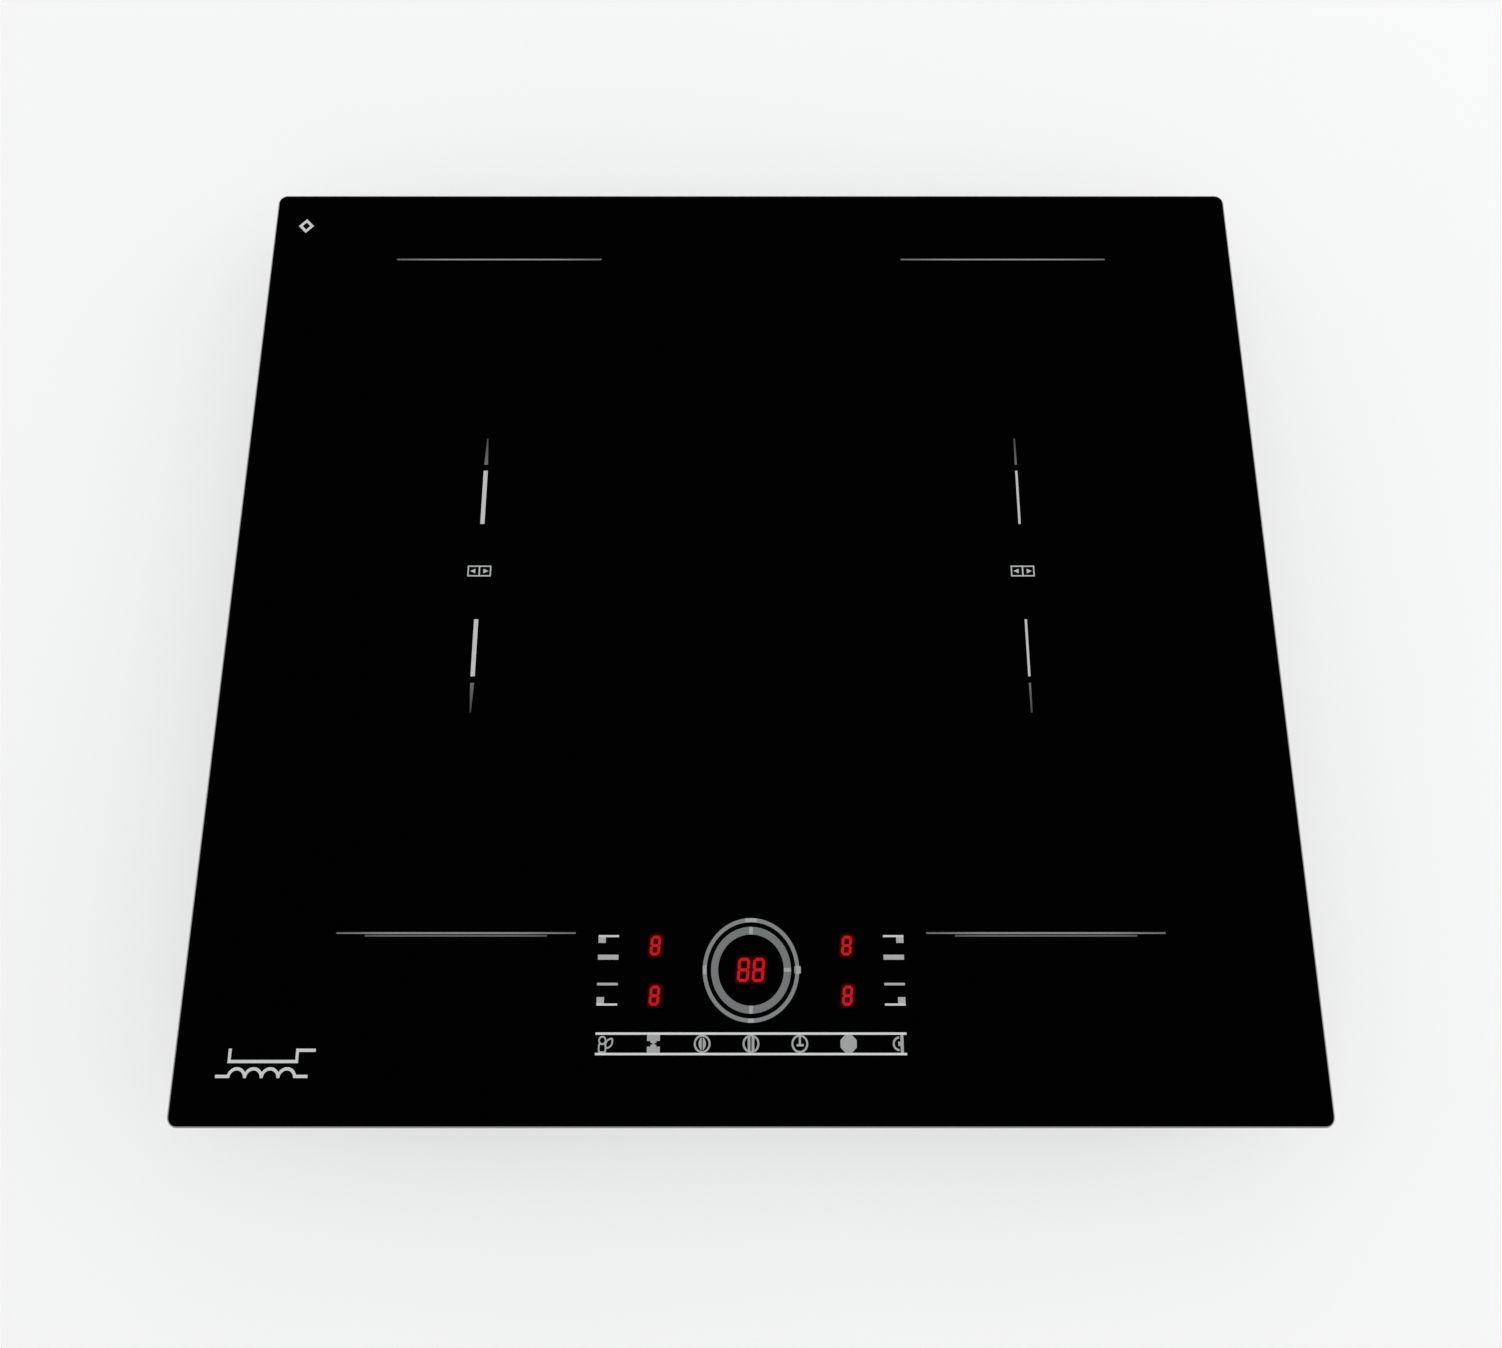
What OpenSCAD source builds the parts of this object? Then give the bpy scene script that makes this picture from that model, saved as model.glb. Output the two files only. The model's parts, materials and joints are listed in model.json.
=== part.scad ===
// Built-in induction cooktop with two bridging zones, as an assembly of separate pieces.
// Millimetres. X runs to the right, Y to the back and Z up. The controls are at the front.
// The origin is under the middle of the glass, on the surface that the case's feet stand on.

/* [Glass] */
// Width of the glass plate, side to side
glass_w = 590; // [480:1:720]
// Depth of the glass plate, front to back
glass_d = 520; // [430:1:640]
// Thickness of the glass plate
glass_t = 4; // [3:0.5:6]
// Radius of the glass plate's corners
glass_r = 5.5; // [4:0.5:20]
// Width of the bevel ground along the plate's top edge
glass_bevel = 1; // [0.5:0.1:1.5]
// Thickness of the ink fired onto the glass
ink_t = 0.06; // [0.04:0.01:0.2]

/* [Case] */
// How far the glass reaches past the case on every side
rim_overhang = 17; // [15:1:30]
// Height of the worktop's surface above the case's feet
case_h = 50; // [46:1:80]
// Thickness of the case's sheet steel
sheet_t = 1; // [0.6:0.1:1.5]
// Height of the feet pressed out of the case's floor
foot_h = 2; // [1.5:0.5:4]
// Thickness of the foam seal under the glass, once pressed
seal_t = 2; // [1:0.5:4]
// Width of the foam seal
seal_w = 9; // [5:1:12]

/* [Zones] */
// From the back edge of the glass to the line behind each zone
zone_back_inset = 43.8; // [40:0.1:60]
// From the front edge of the glass to the line in front of each zone
zone_front_inset = 91.5; // [88:0.1:110]
// Width of the free channel between the left and right coils
centre_gap = 116; // [112:1:150]
// Gap between the two coils of one zone
pair_gap = 10; // [6:1:20]
// Width of the litz wire as wound
wire_w = 3.4; // [2:0.1:4]
// Step from one turn of the winding to the next
wire_pitch = 4.2; // [4.1:0.1:6]
// Height of the winding
wire_h = 3.4; // [2:0.1:4]

/* [Controls] */
// Width of the control module under the glass
control_w = 190; // [180:1:210]
// From the front edge of the glass to the row of key symbols
keys_inset = 38.8; // [36:0.1:45]
// Step from one key symbol to the next
key_pitch = 25; // [22:0.5:27]
// Outer radius of the ring-shaped slider
slider_r = 25.1; // [22:0.1:28]

/* [Fans] */
// Width and depth of each fan's housing
fan_size = 96; // [80:1:110]
// Radius of each fan's air inlet
inlet_r = 29; // [24:0.5:32]
// Radius of the fan's steel shaft
shaft_r = 1.5; // [1:0.1:2]

/* [Worktop clamps] */
// Width of the case's corner notch that holds a clamp
notch_w = 18; // [16:1:24]
// Length of the case's corner notch
notch_l = 60; // [56:1:80]
// Length of a clamp's arm from its screw to its tip
arm_l = 42; // [30:1:44]
// Radius of a clamp's screw
clamp_screw_r = 2.5; // [2:0.5:3]

/* [Mains connection] */
// Radius of the hole in the cable inlet
inlet_bore_r = 6.5; // [5:0.1:8]
// Width of the hatch under the terminals
hatch_w = 100; // [90:1:110]

/* [Hidden] */
$fn = 48;

// Gaps between pieces
fit_gap = 0.3;      // pieces that move past each other
running_gap = 0.05; // a shaft in its bearing, on the radius
pin_gap = 0.08;     // a hinge pin in its ear, on the radius
air_gap = 3.5;      // under the coil plates, for the cooling air

// Case, in plan
tray_w = glass_w - 2 * rim_overhang;
tray_d = glass_d - 2 * rim_overhang;
in_w = tray_w - 2 * sheet_t;
in_d = tray_d - 2 * sheet_t;
tray_r = 3;

// Heights
floor_top = foot_h + sheet_t;
glass_z = case_h + seal_t;
top_z = glass_z + glass_t;
mat_t = 4;
former_h = 9;
plate_t = 1.5;
winding_z = glass_z - mat_t - wire_h;
former_z = winding_z - former_h;
plate_z = former_z - plate_t;
carrier_t = 2;
standoff_h = 4;
pcb_t = 1.6;
pcb_z = floor_top + carrier_t + standoff_h;
board_top = pcb_z + pcb_t;
part_h = plate_z - air_gap - board_top;
spring_h = 10;
post_top = plate_z - spring_h;

// Frame glued under the glass
flange_t = 1.2;
flange_z = glass_z - flange_t;
flange_coil_gap = 3;
web_t = 1;
web_z = glass_z - 14;
bush_r = 5;
bush_z = glass_z - 8;
tray_top = flange_z - fit_gap;

// Coils, in plan
coil_notch_gap = 6;
zone_margin = 7.2;
zone_back = glass_d / 2 - zone_back_inset;
zone_front = zone_front_inset - glass_d / 2;
zone_y = (zone_back + zone_front) / 2;
coil_out_x = in_w / 2 - notch_w - coil_notch_gap;
coil_w = coil_out_x - centre_gap / 2;
coil_d = (zone_back - zone_front - 2 * zone_margin - pair_gap) / 2;
zone_x = coil_out_x - coil_w / 2;
coil_step = (coil_d + pair_gap) / 2;
flange_w = tray_w / 2 - coil_out_x - flange_coil_gap;
squareness = 3;
hub_r = 20;
turns = floor((min(coil_w, coil_d) / 2 - hub_r - 6) / wire_pitch);
rim_t = 1.2;
inner_x = coil_w / 2 - turns * wire_pitch - rim_t - 0.5;
former_t = 2;
ferrite_w = 10;
ferrite_h = 5;
ferrite_start = 27;
ferrite_l = min(coil_w, coil_d) / 2 - ferrite_start - 8;
sensor_r = 5;
lead_r = 1.3;
lead_hole_r = 3.4;
lead_hole_x = inner_x - 8.4;
lead_hole_y = 10;
former_screw_x = 15;

// Boards, in plan
bay_x0 = centre_gap / 2;
bay_x1 = coil_out_x + 1;
fan_y = in_d / 2 - 4 - fan_size / 2;
bay_y0 = zone_front + 10;
bay_y1 = fan_y - fan_size / 2 - 6;
post_r = 6;
post_inset = 8;
pcb_x0 = bay_x0 + post_inset + post_r + 2;
pcb_x1 = bay_x1 - post_inset - post_r - 2;
pcb_y0 = bay_y0 + 4;
pcb_y1 = bay_y1 - 4;
front_parts_d = 118;
sink_w = 56;
sink_x0 = zone_x - 10;
sink_l = pcb_y1 - 4 - pcb_y0 - front_parts_d;
sink_y0 = pcb_y1 - 4 - sink_l;
sink_base_t = 4;
ledge_w = 22;
fin_t = 1.6;
fin_count = 9;
transistor_l = 21;
transistor_w = 16;
transistor_t = 5;
transistor_count = 4;
connector_w = 9;
connector_h = 8;
lead_step = 14;

// Mains filter, in the channel between the boards
filter_w = 84;
filter_d = 100;

// Fans
fan_h = plate_z - air_gap - floor_top;
fan_wall = 1.5;
volute_r = 44;
blade_out_r = 36;
blade_in_r = 27;
blade_count = 21;
blade_t = 1;
hub_cup_r = 16;
cup_t = 1.5;
bearing_r = 4;

// Terminal box
box_w = 150;
box_d = 72;
box_wall = 2;
box_h = plate_z - air_gap - floor_top;
box_y1 = in_d / 2 - 4;
box_y0 = box_y1 - box_d;
hatch_x = -14;
hatch_y0 = box_y0 + 5;
hatch_y1 = box_y1 - 7;
hinge_y = hatch_y0 + 4.5;
hinge_z = foot_h + 1;
hinge_r = 1.2;
ear_r = 2.2;
ear_t = 4;
ear_inset = 6;
ear_x = hatch_w / 2 - fit_gap - ear_inset - ear_t / 2;
knuckle_r = 1.6;
knuckle_l = 4;
cover_t = 1.4;
cover_z = foot_h - fit_gap - cover_t;
gland_x = 56;
gland_y = (box_y0 + box_y1) / 2;
gland_r = 10;
gland_z = 0.5;
gland_l = 8;
terminal_count = 6;
terminal_pitch = 13;
terminal_z = floor_top + 9;
terminal_screw_r = 2.2;

// Controls
keys_y = keys_inset - glass_d / 2;
slider_y = keys_y + 34.9;
digit_x = 2 * key_pitch;
digit_y = [slider_y + 11.5, slider_y - 12.3];
selector_x = 3 * key_pitch;
control_y0 = 7 - in_d / 2;
control_y1 = zone_front + zone_margin - 2;
display_h = 7;
ribbon_x = 19;
ribbon_w = 12;
ribbon_t = 0.8;
control_top = glass_z - display_h;
control_z = control_top - pcb_t;
control_carrier_h = 6;
ribbon_z = control_z - 3;
leg_r = 4;

// Clamps
clamp_x = tray_w / 2 - notch_w / 2;
clamp_y = tray_d / 2 - 12;
clamp_head_z = 0.8;
clamp_head_h = 3;
collar_h = 1.5;
arm_t = 2.5;
arm_w = 12;
boss_r = 6.5;
boss_h = 7;
collar_z = clamp_head_z + clamp_head_h + 0.2;
arm_z = collar_z + collar_h + 0.2;

// Case screws
screw_r = 1.5;
screw_head_r = 3;
screw_head_h = 1.8;
screw_l = 7;

// ---------- shared shapes ----------

// A box between two corners
module block(lo, hi) {
    translate(lo) cube(hi - lo);
}

// A flat rectangle with round corners, centred
module rounded(w, d, r) {
    square([w - 2 * r, d], center = true);
    square([w, d - 2 * r], center = true);
    for (x = [-1, 1], y = [-1, 1])
        translate([x * (w / 2 - r), y * (d / 2 - r)]) circle(r);
}

// A flat slot with round ends, along X, centred
module slot(l, w) {
    square([l - w, w], center = true);
    for (x = [-1, 1]) translate([x * (l - w) / 2, 0]) circle(w / 2, $fn = 24);
}

// A flat ring
module band(outer, inner) {
    difference() {
        circle(outer, $fn = 96);
        circle(inner, $fn = 96);
    }
}

// A slab with round corners whose top edge is bevelled all round
module bevelled_slab(w, d, t, r, bevel) {
    linear_extrude(t - bevel) rounded(w, d, r);
    translate([0, 0, t - bevel]) {
        bevelled_bar(w, d - 2 * r, bevel);
        rotate(90) bevelled_bar(d, w - 2 * r, bevel);
        for (x = [-1, 1], y = [-1, 1])
            translate([x * (w / 2 - r), y * (d / 2 - r), 0]) cylinder(h = bevel, r1 = r, r2 = r - bevel);
    }
}

// The top layer of that slab between two corners: l across the bevels, w along them
module bevelled_bar(l, w, bevel) {
    translate([0, w / 2, 0]) rotate([90, 0, 0])
        linear_extrude(w) polygon([[-l / 2, 0], [l / 2, 0], [l / 2 - bevel, bevel], [bevel - l / 2, bevel]]);
}

// Copies to the right and, mirrored, to the left
module both_sides() {
    children();
    mirror([1, 0, 0]) children();
}

// The right side's shape, mirrored for the left side
module on_side(side) {
    if (side > 0) children();
    else mirror([1, 0, 0]) children();
}

// ---------- swept wires ----------

function unit(v) = v / norm(v);
function bend(a, b, c, d, t) =
    0.5 * (2 * b + (c - a) * t + (2 * a - 5 * b + 4 * c - d) * t * t + (3 * b - a - 3 * c + d) * t * t * t);
function smooth(p, steps) = [
    for (i = [0 : len(p) - 2], k = [0 : steps - 1])
        bend(p[max(i - 1, 0)], p[i], p[i + 1], p[min(i + 2, len(p) - 1)], k / steps),
    p[len(p) - 1]
];
function heading(p, i) = unit(p[min(i + 1, len(p) - 1)] - p[max(i - 1, 0)]);
function first_side(t) = unit(cross(t, abs(t.z) < 0.9 ? [0, 0, 1] : [1, 0, 0]));
function sides_along(p) = [
    for (i = 0, u = first_side(heading(p, 0)); i < len(p);
         i = i + 1, t = heading(p, min(i, len(p) - 1)), u = unit(u - (u * t) * t)) u
];

// A round wire along a path, as one closed tube
module wire(path, r, sides = 8) {
    n = len(path);
    u = sides_along(path);
    points = [
        for (i = [0 : n - 1], k = [0 : sides - 1])
            path[i] + r * (cos(360 * k / sides) * u[i] + sin(360 * k / sides) * cross(heading(path, i), u[i]))
    ];
    walls = [
        for (i = [0 : n - 2], k = [0 : sides - 1])
            let (a = i * sides + k, b = i * sides + (k + 1) % sides) [a, a + sides, b + sides, b]
    ];
    ends = [[for (k = [0 : sides - 1]) k], [for (k = [sides - 1 : -1 : 0]) (n - 1) * sides + k]];
    polyhedron(points, concat(ends, walls));
}

// ---------- glass and its print ----------

module glass_plate() {
    color([0.02, 0.02, 0.022])
        translate([0, 0, glass_z]) bevelled_slab(glass_w, glass_d, glass_t, glass_r, glass_bevel);
}

// Flat shapes turned into ink on the glass
module ink() {
    translate([0, 0, top_z]) linear_extrude(ink_t) children();
}

// The sign for two coils working as one: a split frame with an arrow in each half
module bridge_sign() {
    difference() {
        square([13.4, 6.2], center = true);
        square([12, 4.8], center = true);
    }
    square([0.8, 6], center = true);
    for (turn = [0, 180]) rotate(turn) translate([3.6, 0]) polygon([[-1.3, -1.3], [1.6, 0], [-1.3, 1.3]]);
}

// The strokes up one side of a zone's middle: a bright one, then a faint one that tapers
module stroke_pair(w, tip_w) {
    near = 27.4;
    bright_l = 31.6;
    gap = 3.6;
    faint_l = 16;
    translate([-w / 2, near]) square([w, bright_l]);
    translate([0, near + bright_l + gap])
        polygon([[-w * 0.45, 0], [w * 0.45, 0], [tip_w / 2, faint_l], [-tip_w / 2, faint_l]]);
}

module zone_print() {
    line_l = coil_w - 69.5;
    inwards = 0.8;
    color([0.8, 0.8, 0.8]) ink() for (side = [-1, 1]) translate([side * (zone_x - inwards), 0]) {
        translate([0, zone_back]) square([line_l, 0.9], center = true);
        translate([0, zone_front]) square([line_l, 0.8], center = true);
        translate([0, zone_front - 1.3]) square([line_l - 30, 0.9], center = true);
        translate([0, zone_y - inwards]) {
            bridge_sign();
            for (turn = [0, 180]) rotate(turn) stroke_pair(side < 0 ? 2.4 : 1.3, side < 0 ? 0.6 : 0.9);
        }
    }
}

// One zone's key marks, for the left side: a line with a solid corner, and a bar
module zone_key(way, corner_h, bar_y, bar_h) {
    key_w = 10.7;
    corner_w = 3.8;
    line_h = 1;
    mirror([0, way < 0 ? 1 : 0, 0]) {
        translate([-key_w / 2, -line_h]) square([key_w, line_h]);
        translate([-key_w / 2, -corner_h]) square([corner_w, corner_h]);
    }
    translate([0, bar_y]) square([key_w, bar_h], center = true);
}

// Key signs, each nearly as tall as the strip
sign_r = 4.3;

// A padlock's body, its shackle and a leaf-shaped key beside it
module lock_sign() {
    translate([-1.2, -2]) difference() {
        rounded(4.2, 4.6, 1);
        rounded(2.6, 3, 0.5);
    }
    translate([-1.2, 1.6]) band(2.1, 1.3);
    translate([2.2, 0.2]) rotate(-35) difference() {
        leaf(1.9, 3.1);
        leaf(1.1, 2.1);
    }
}

// A pointed leaf: where two circles cross
module leaf(half_w, half_h) {
    r = (half_w * half_w + half_h * half_h) / (2 * half_w);
    intersection_for(x = [-1, 1]) translate([x * (r - half_w), 0]) circle(r);
}

module bridge_key_sign() {
    for (y = [-1, 1]) translate([0, y * (sign_r - 1.5)]) square([6.6, 3], center = true);
    square([1.1, 2 * sign_r - 2], center = true);
    for (y = [-1, 1]) translate([0, y * (sign_r - 3.4)]) square([3, 1], center = true);
}

module power_sign() {
    band(sign_r, sign_r - 1);
    difference() {
        leaf(1.9, 3.2);
        square([0.5, 7], center = true);
    }
}

module pause_sign() {
    band(sign_r, sign_r - 1);
    difference() {
        square([3.4, 7.4], center = true);
        square([0.6, 8], center = true);
    }
}

module timer_sign() {
    band(sign_r, sign_r - 1);
    translate([-0.5, -0.8]) square([1.1, 4.2]);
    translate([-1.6, -1.2]) square([3.6, 1.1]);
}

module stop_sign() {
    rotate(22.5) circle(sign_r + 0.2, $fn = 8);
}

module warm_sign() {
    difference() {
        translate([1, 0]) circle(3.4);
        translate([1, 0]) circle(2.4);
        translate([1, -5]) square([6, 10]);
    }
    translate([0.4, -1]) square([1.2, 2]);
    translate([1.6, -sign_r]) square([1.6, 2 * sign_r]);
}

// The field at the front left corner: a pan above an induction coil
module pan_and_coil_sign() {
    humps = 4;
    hump_r = 5;
    line = 1.5;
    pan_w = 36;
    for (i = [0 : humps - 1]) translate([(i - (humps - 1) / 2) * (2 * hump_r - line), -6]) intersection() {
        band(hump_r, hump_r - line);
        translate([-hump_r, 0]) square(2 * hump_r);
    }
    for (x = [-1, 1]) translate([x * (humps * (hump_r - line / 2) + 3), -6 + line / 2])
        square([7, line], center = true);
    translate([0, 1.6]) square([pan_w, line], center = true);
    for (x = [-1, 1]) translate([x * (pan_w - line) / 2, 4.4]) square([line, 6.4], center = true);
    translate([pan_w / 2 + 4, 6.8]) square([9, line], center = true);
}

module control_print() {
    strip_l = 6 * key_pitch + 9.6;
    color([0.75, 0.75, 0.75]) ink() {
        for (y = [-1, 1]) translate([0, keys_y + y * 4.75]) square([strip_l, 1.1], center = true);
        translate([-3 * key_pitch, keys_y]) lock_sign();
        translate([-2 * key_pitch, keys_y]) bridge_key_sign();
        translate([-key_pitch, keys_y]) power_sign();
        translate([0, keys_y]) pause_sign();
        translate([key_pitch, keys_y]) timer_sign();
        translate([2 * key_pitch, keys_y]) stop_sign();
        translate([3 * key_pitch, keys_y]) warm_sign();
        both_sides() {
            translate([0.5 - selector_x, slider_y + 16.8]) zone_key(1, 3.8, -10.7, 2.4);
            translate([0.5 - selector_x, slider_y - 17]) zone_key(-1, 4, 10.2, 1.2);
        }
        translate([-glass_w / 2 + 45.9, keys_y - 9.8]) pan_and_coil_sign();
        translate([-glass_w / 2 + 19.4, glass_d / 2 - 21.2]) rotate(45) difference() {
            square([6.6, 6.6], center = true);
            square([3.4, 3.4], center = true);
        }
    }
}

module slider_print() {
    color([0.5, 0.51, 0.51]) ink() translate([0, slider_y]) {
        band(slider_r, slider_r - 2);
        band(slider_r - 4.3, slider_r - 8);
        translate([slider_r - 2.6, -1.7]) square([3.4, 3.4]);
    }
}

// ---------- rim ----------

module rim_seal() {
    outer_inset = 3;
    color([0.06, 0.06, 0.06]) translate([0, 0, case_h]) linear_extrude(seal_t) difference() {
        rounded(glass_w - 2 * outer_inset, glass_d - 2 * outer_inset, glass_r - 2);
        square([glass_w - 2 * (outer_inset + seal_w), glass_d - 2 * (outer_inset + seal_w)], center = true);
    }
}

// The case's outline in plan, taken in by some distance
module tray_outline(inset) {
    difference() {
        rounded(tray_w - 2 * inset, tray_d - 2 * inset, max(tray_r - inset, 0.5));
        for (x = [-1, 1], y = [-1, 1]) translate([x * tray_w / 2, y * tray_d / 2])
            square([2 * (notch_w + inset), 2 * (notch_l + inset)], center = true);
    }
}

module support_frame() {
    web_out = sheet_t + fit_gap;
    web_x = tray_w / 2 - web_out;
    web_y = tray_d / 2 - web_out;
    side_l = tray_d - 2 * notch_l - 24;
    end_l = tray_w - 2 * notch_w - 30;
    color([0.72, 0.73, 0.75]) difference() {
        union() {
            translate([0, 0, flange_z]) linear_extrude(flange_t) difference() {
                rounded(tray_w, tray_d, tray_r);
                square([tray_w - 2 * flange_w, tray_d - 2 * flange_w], center = true);
                translate([-control_w / 2 - 2, -tray_d / 2 + sheet_t + 2.5]) square([control_w + 4, flange_w]);
            }
            for (x = [-1, 1]) translate([x * (web_x - web_t / 2), 0, (web_z + flange_z) / 2])
                cube([web_t, side_l, flange_z - web_z], center = true);
            for (y = [-1, 1]) translate([0, y * (web_y - web_t / 2), (web_z + flange_z) / 2])
                cube([end_l, web_t, flange_z - web_z], center = true);
            at_clamps() translate([0, 0, bush_z]) cylinder(h = glass_z - bush_z, r = bush_r);
        }
        at_clamps() translate([0, 0, bush_z - 1]) cylinder(h = glass_z - bush_z + 2, r = clamp_screw_r);
        at_wall_screws() translate([0, 0, -screw_l]) cylinder(h = 2 * screw_l, r = screw_r);
    }
}

// ---------- case ----------

wall_screw_z = web_z + 6;
side_screw_step = (tray_d - 2 * notch_l) / 2 - 30;
end_screw_step = (tray_w - 2 * notch_w) / 2 - 50;

// The places of the screws that join the case to the frame, each pointing out of its wall along Z
module at_wall_screws() {
    for (x = [-1, 1], y = [-1, 0, 1]) translate([x * tray_w / 2, y * side_screw_step, wall_screw_z])
        rotate([0, x * 90, 0]) children();
    for (y = [-1, 1], x = [-1, 1]) translate([x * end_screw_step, y * tray_d / 2, wall_screw_z])
        rotate([-y * 90, 0, 0]) children();
}

foot_r = 12;
foot_x = tray_w / 2 - notch_w - 26;
foot_y = tray_d / 2 - 26;

module at_feet() {
    for (x = [-1, 1], y = [-1, 1]) translate([x * foot_x, y * foot_y, 0]) children();
}

// Slots that fill a circle, for the air to a fan
module inlet_grille() {
    step = 6.5;
    rows = floor((inlet_r - 3) / step);
    linear_extrude(4 * sheet_t, center = true) for (i = [-rows : rows])
        translate([0, i * step]) slot(2 * sqrt(pow(inlet_r, 2) - pow(i * step, 2)) - 3, 3.4);
}

// A row of slots, each along Y, that fills a length of X from its middle
module slot_row(l, step, slot_l, slot_w) {
    n = floor(l / step);
    linear_extrude(4 * sheet_t, center = true) for (i = [0 : n - 1])
        translate([(i - (n - 1) / 2) * step, 0]) rotate(90) slot(slot_l, slot_w);
}

outlet_x0 = control_w / 2 + 8;
outlet_x1 = tray_w / 2 - notch_w - 44;
outlet_y = (control_y0 + control_y1) / 2;

// Stiffening beads pressed down out of the floor, taken in by some distance
bead_w = 14;
bead_h = 1.2;
bead_step = 46;
module bead_outlines(inset) {
    l = bay_y1 - bay_y0 - 70;
    for (x = [-zone_x - bead_step, bead_step - zone_x, 0, zone_x - bead_step, zone_x + bead_step])
        translate([x, (bay_y0 + bay_y1) / 2]) rotate(90) slot(l - 2 * inset, bead_w - 2 * inset);
}

module bottom_tray() {
    color([0.7, 0.71, 0.73]) difference() {
        union() {
            translate([0, 0, foot_h]) linear_extrude(sheet_t) tray_outline(0);
            translate([0, 0, foot_h]) linear_extrude(tray_top - foot_h) difference() {
                tray_outline(0);
                tray_outline(sheet_t);
            }
            at_feet() cylinder(h = foot_h + sheet_t / 2, r1 = foot_r - 2, r2 = foot_r);
            translate([0, 0, foot_h - bead_h]) linear_extrude(bead_h + sheet_t / 2) bead_outlines(0);
        }
        translate([0, 0, foot_h - bead_h + sheet_t]) linear_extrude(bead_h + sheet_t) bead_outlines(sheet_t);
        at_feet() translate([0, 0, sheet_t]) cylinder(h = foot_h + sheet_t, r1 = foot_r - 3, r2 = foot_r - 1);
        both_sides() translate([zone_x, fan_y, floor_top - sheet_t / 2]) inlet_grille();
        both_sides() translate([(outlet_x0 + outlet_x1) / 2, outlet_y, floor_top - sheet_t / 2])
            slot_row(outlet_x1 - outlet_x0, 11, 44, 4);
        both_sides() translate([(outlet_x0 + outlet_x1) / 2, -tray_d / 2, case_h / 2 - 4])
            rotate([90, 0, 0]) slot_row(outlet_x1 - outlet_x0, 11, 20, 4);
        both_sides() translate([tray_w / 2, 0, case_h / 2 - 4]) rotate([90, 0, 90])
            slot_row(tray_d - 2 * notch_l - 120, 11, 16, 3.4);
        translate([0, 0, floor_top - 3 * sheet_t]) linear_extrude(5 * sheet_t)
            translate([hatch_x - hatch_w / 2, hatch_y0]) square([hatch_w, hatch_y1 - hatch_y0]);
        translate([gland_x, gland_y, floor_top - 3 * sheet_t]) cylinder(h = 5 * sheet_t, r = gland_r);
        at_wall_screws() translate([0, 0, -3 * sheet_t]) cylinder(h = 5 * sheet_t, r = screw_r + 0.2);
    }
}

// ---------- coils ----------

function power_of(c, p) = sign(c) * pow(abs(c), p);
function squircle_point(a, b, angle) = [
    a * power_of(cos(angle), 2 / squareness),
    b * power_of(sin(angle), 2 / squareness)
];

// A rounded rectangle drawn as a superellipse
module squircle(a, b) {
    polygon([for (i = [0 : 47]) squircle_point(a, b, i * 7.5)]);
}

// One spiral of flat-wound wire, from the hub to the rim
module spiral(a, b) {
    steps = 24;
    inner = turns * wire_pitch;
    function edge(i, out) = let (grown = i * wire_pitch / steps - inner - rim_t - 0.5 + out)
        squircle_point(a + grown, b + grown, 360 * i / steps);
    linear_extrude(wire_h) polygon(concat(
        [for (i = [0 : turns * steps]) edge(i, 0)],
        [for (i = [turns * steps : -1 : 0]) edge(i, -wire_w)]
    ));
}

// Places a coil's own piece: side -1 left or 1 right, end -1 front or 1 rear
module at_coil(side, end) {
    translate([side * zone_x, zone_y + end * coil_step, 0]) children();
}

module coil_winding(side, end) {
    color([0.72, 0.4, 0.2]) at_coil(side, end) translate([0, 0, winding_z])
        rotate(side > 0 ? 180 : 0) mirror([0, side * end > 0 ? 0 : 1, 0]) spiral(coil_w / 2, coil_d / 2);
}

// The place where a coil's inner lead goes down, beside the start of its winding
module at_lead_hole(side, end) {
    translate([-side * lead_hole_x, end * lead_hole_y, 0]) children();
}

module at_former_screws() {
    for (y = [-1, 1]) translate([0, y * former_screw_x, 0]) children();
}

module at_ferrites() {
    for (i = [0 : 7]) rotate(i * 45) translate([ferrite_start, 0, 0]) children();
}

// A ferrite bar's block, grown sideways and at both ends
module ferrite_shape(grow, h) {
    translate([-grow, -ferrite_w / 2 - grow, 0]) cube([ferrite_l + 2 * grow, ferrite_w + 2 * grow, h]);
}

module coil_former(side, end) {
    deck_z = former_z + former_h - former_t;
    slot_wall = 1.5;
    color([0.12, 0.12, 0.13]) at_coil(side, end) difference() {
        union() {
            translate([0, 0, deck_z]) linear_extrude(former_t) squircle(coil_w / 2, coil_d / 2);
            translate([0, 0, former_z]) {
                cylinder(h = former_h, r = hub_r);
                at_ferrites() ferrite_shape(slot_wall, former_h);
                linear_extrude(former_h) difference() {
                    squircle(coil_w / 2, coil_d / 2);
                    squircle(coil_w / 2 - 2, coil_d / 2 - 2);
                }
            }
        }
        translate([0, 0, former_z - 0.1]) {
            at_ferrites() ferrite_shape(0.1, ferrite_h + 0.2);
            cylinder(h = former_h + 1, r = sensor_r + 0.2);
            at_lead_hole(side, end) cylinder(h = former_h + 1, r = lead_hole_r);
            at_former_screws() cylinder(h = 6, r = screw_r);
        }
    }
}

module ferrite_bars() {
    color([0.2, 0.2, 0.21]) for (side = [-1, 1], end = [-1, 1]) at_coil(side, end) translate([0, 0, former_z])
        at_ferrites() ferrite_shape(0, ferrite_h);
}

module insulation_mats() {
    color([0.9, 0.88, 0.82]) for (side = [-1, 1], end = [-1, 1]) at_coil(side, end)
        translate([0, 0, glass_z - mat_t]) linear_extrude(mat_t) difference() {
            squircle(coil_w / 2, coil_d / 2);
            circle(sensor_r + 1);
        }
}

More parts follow.
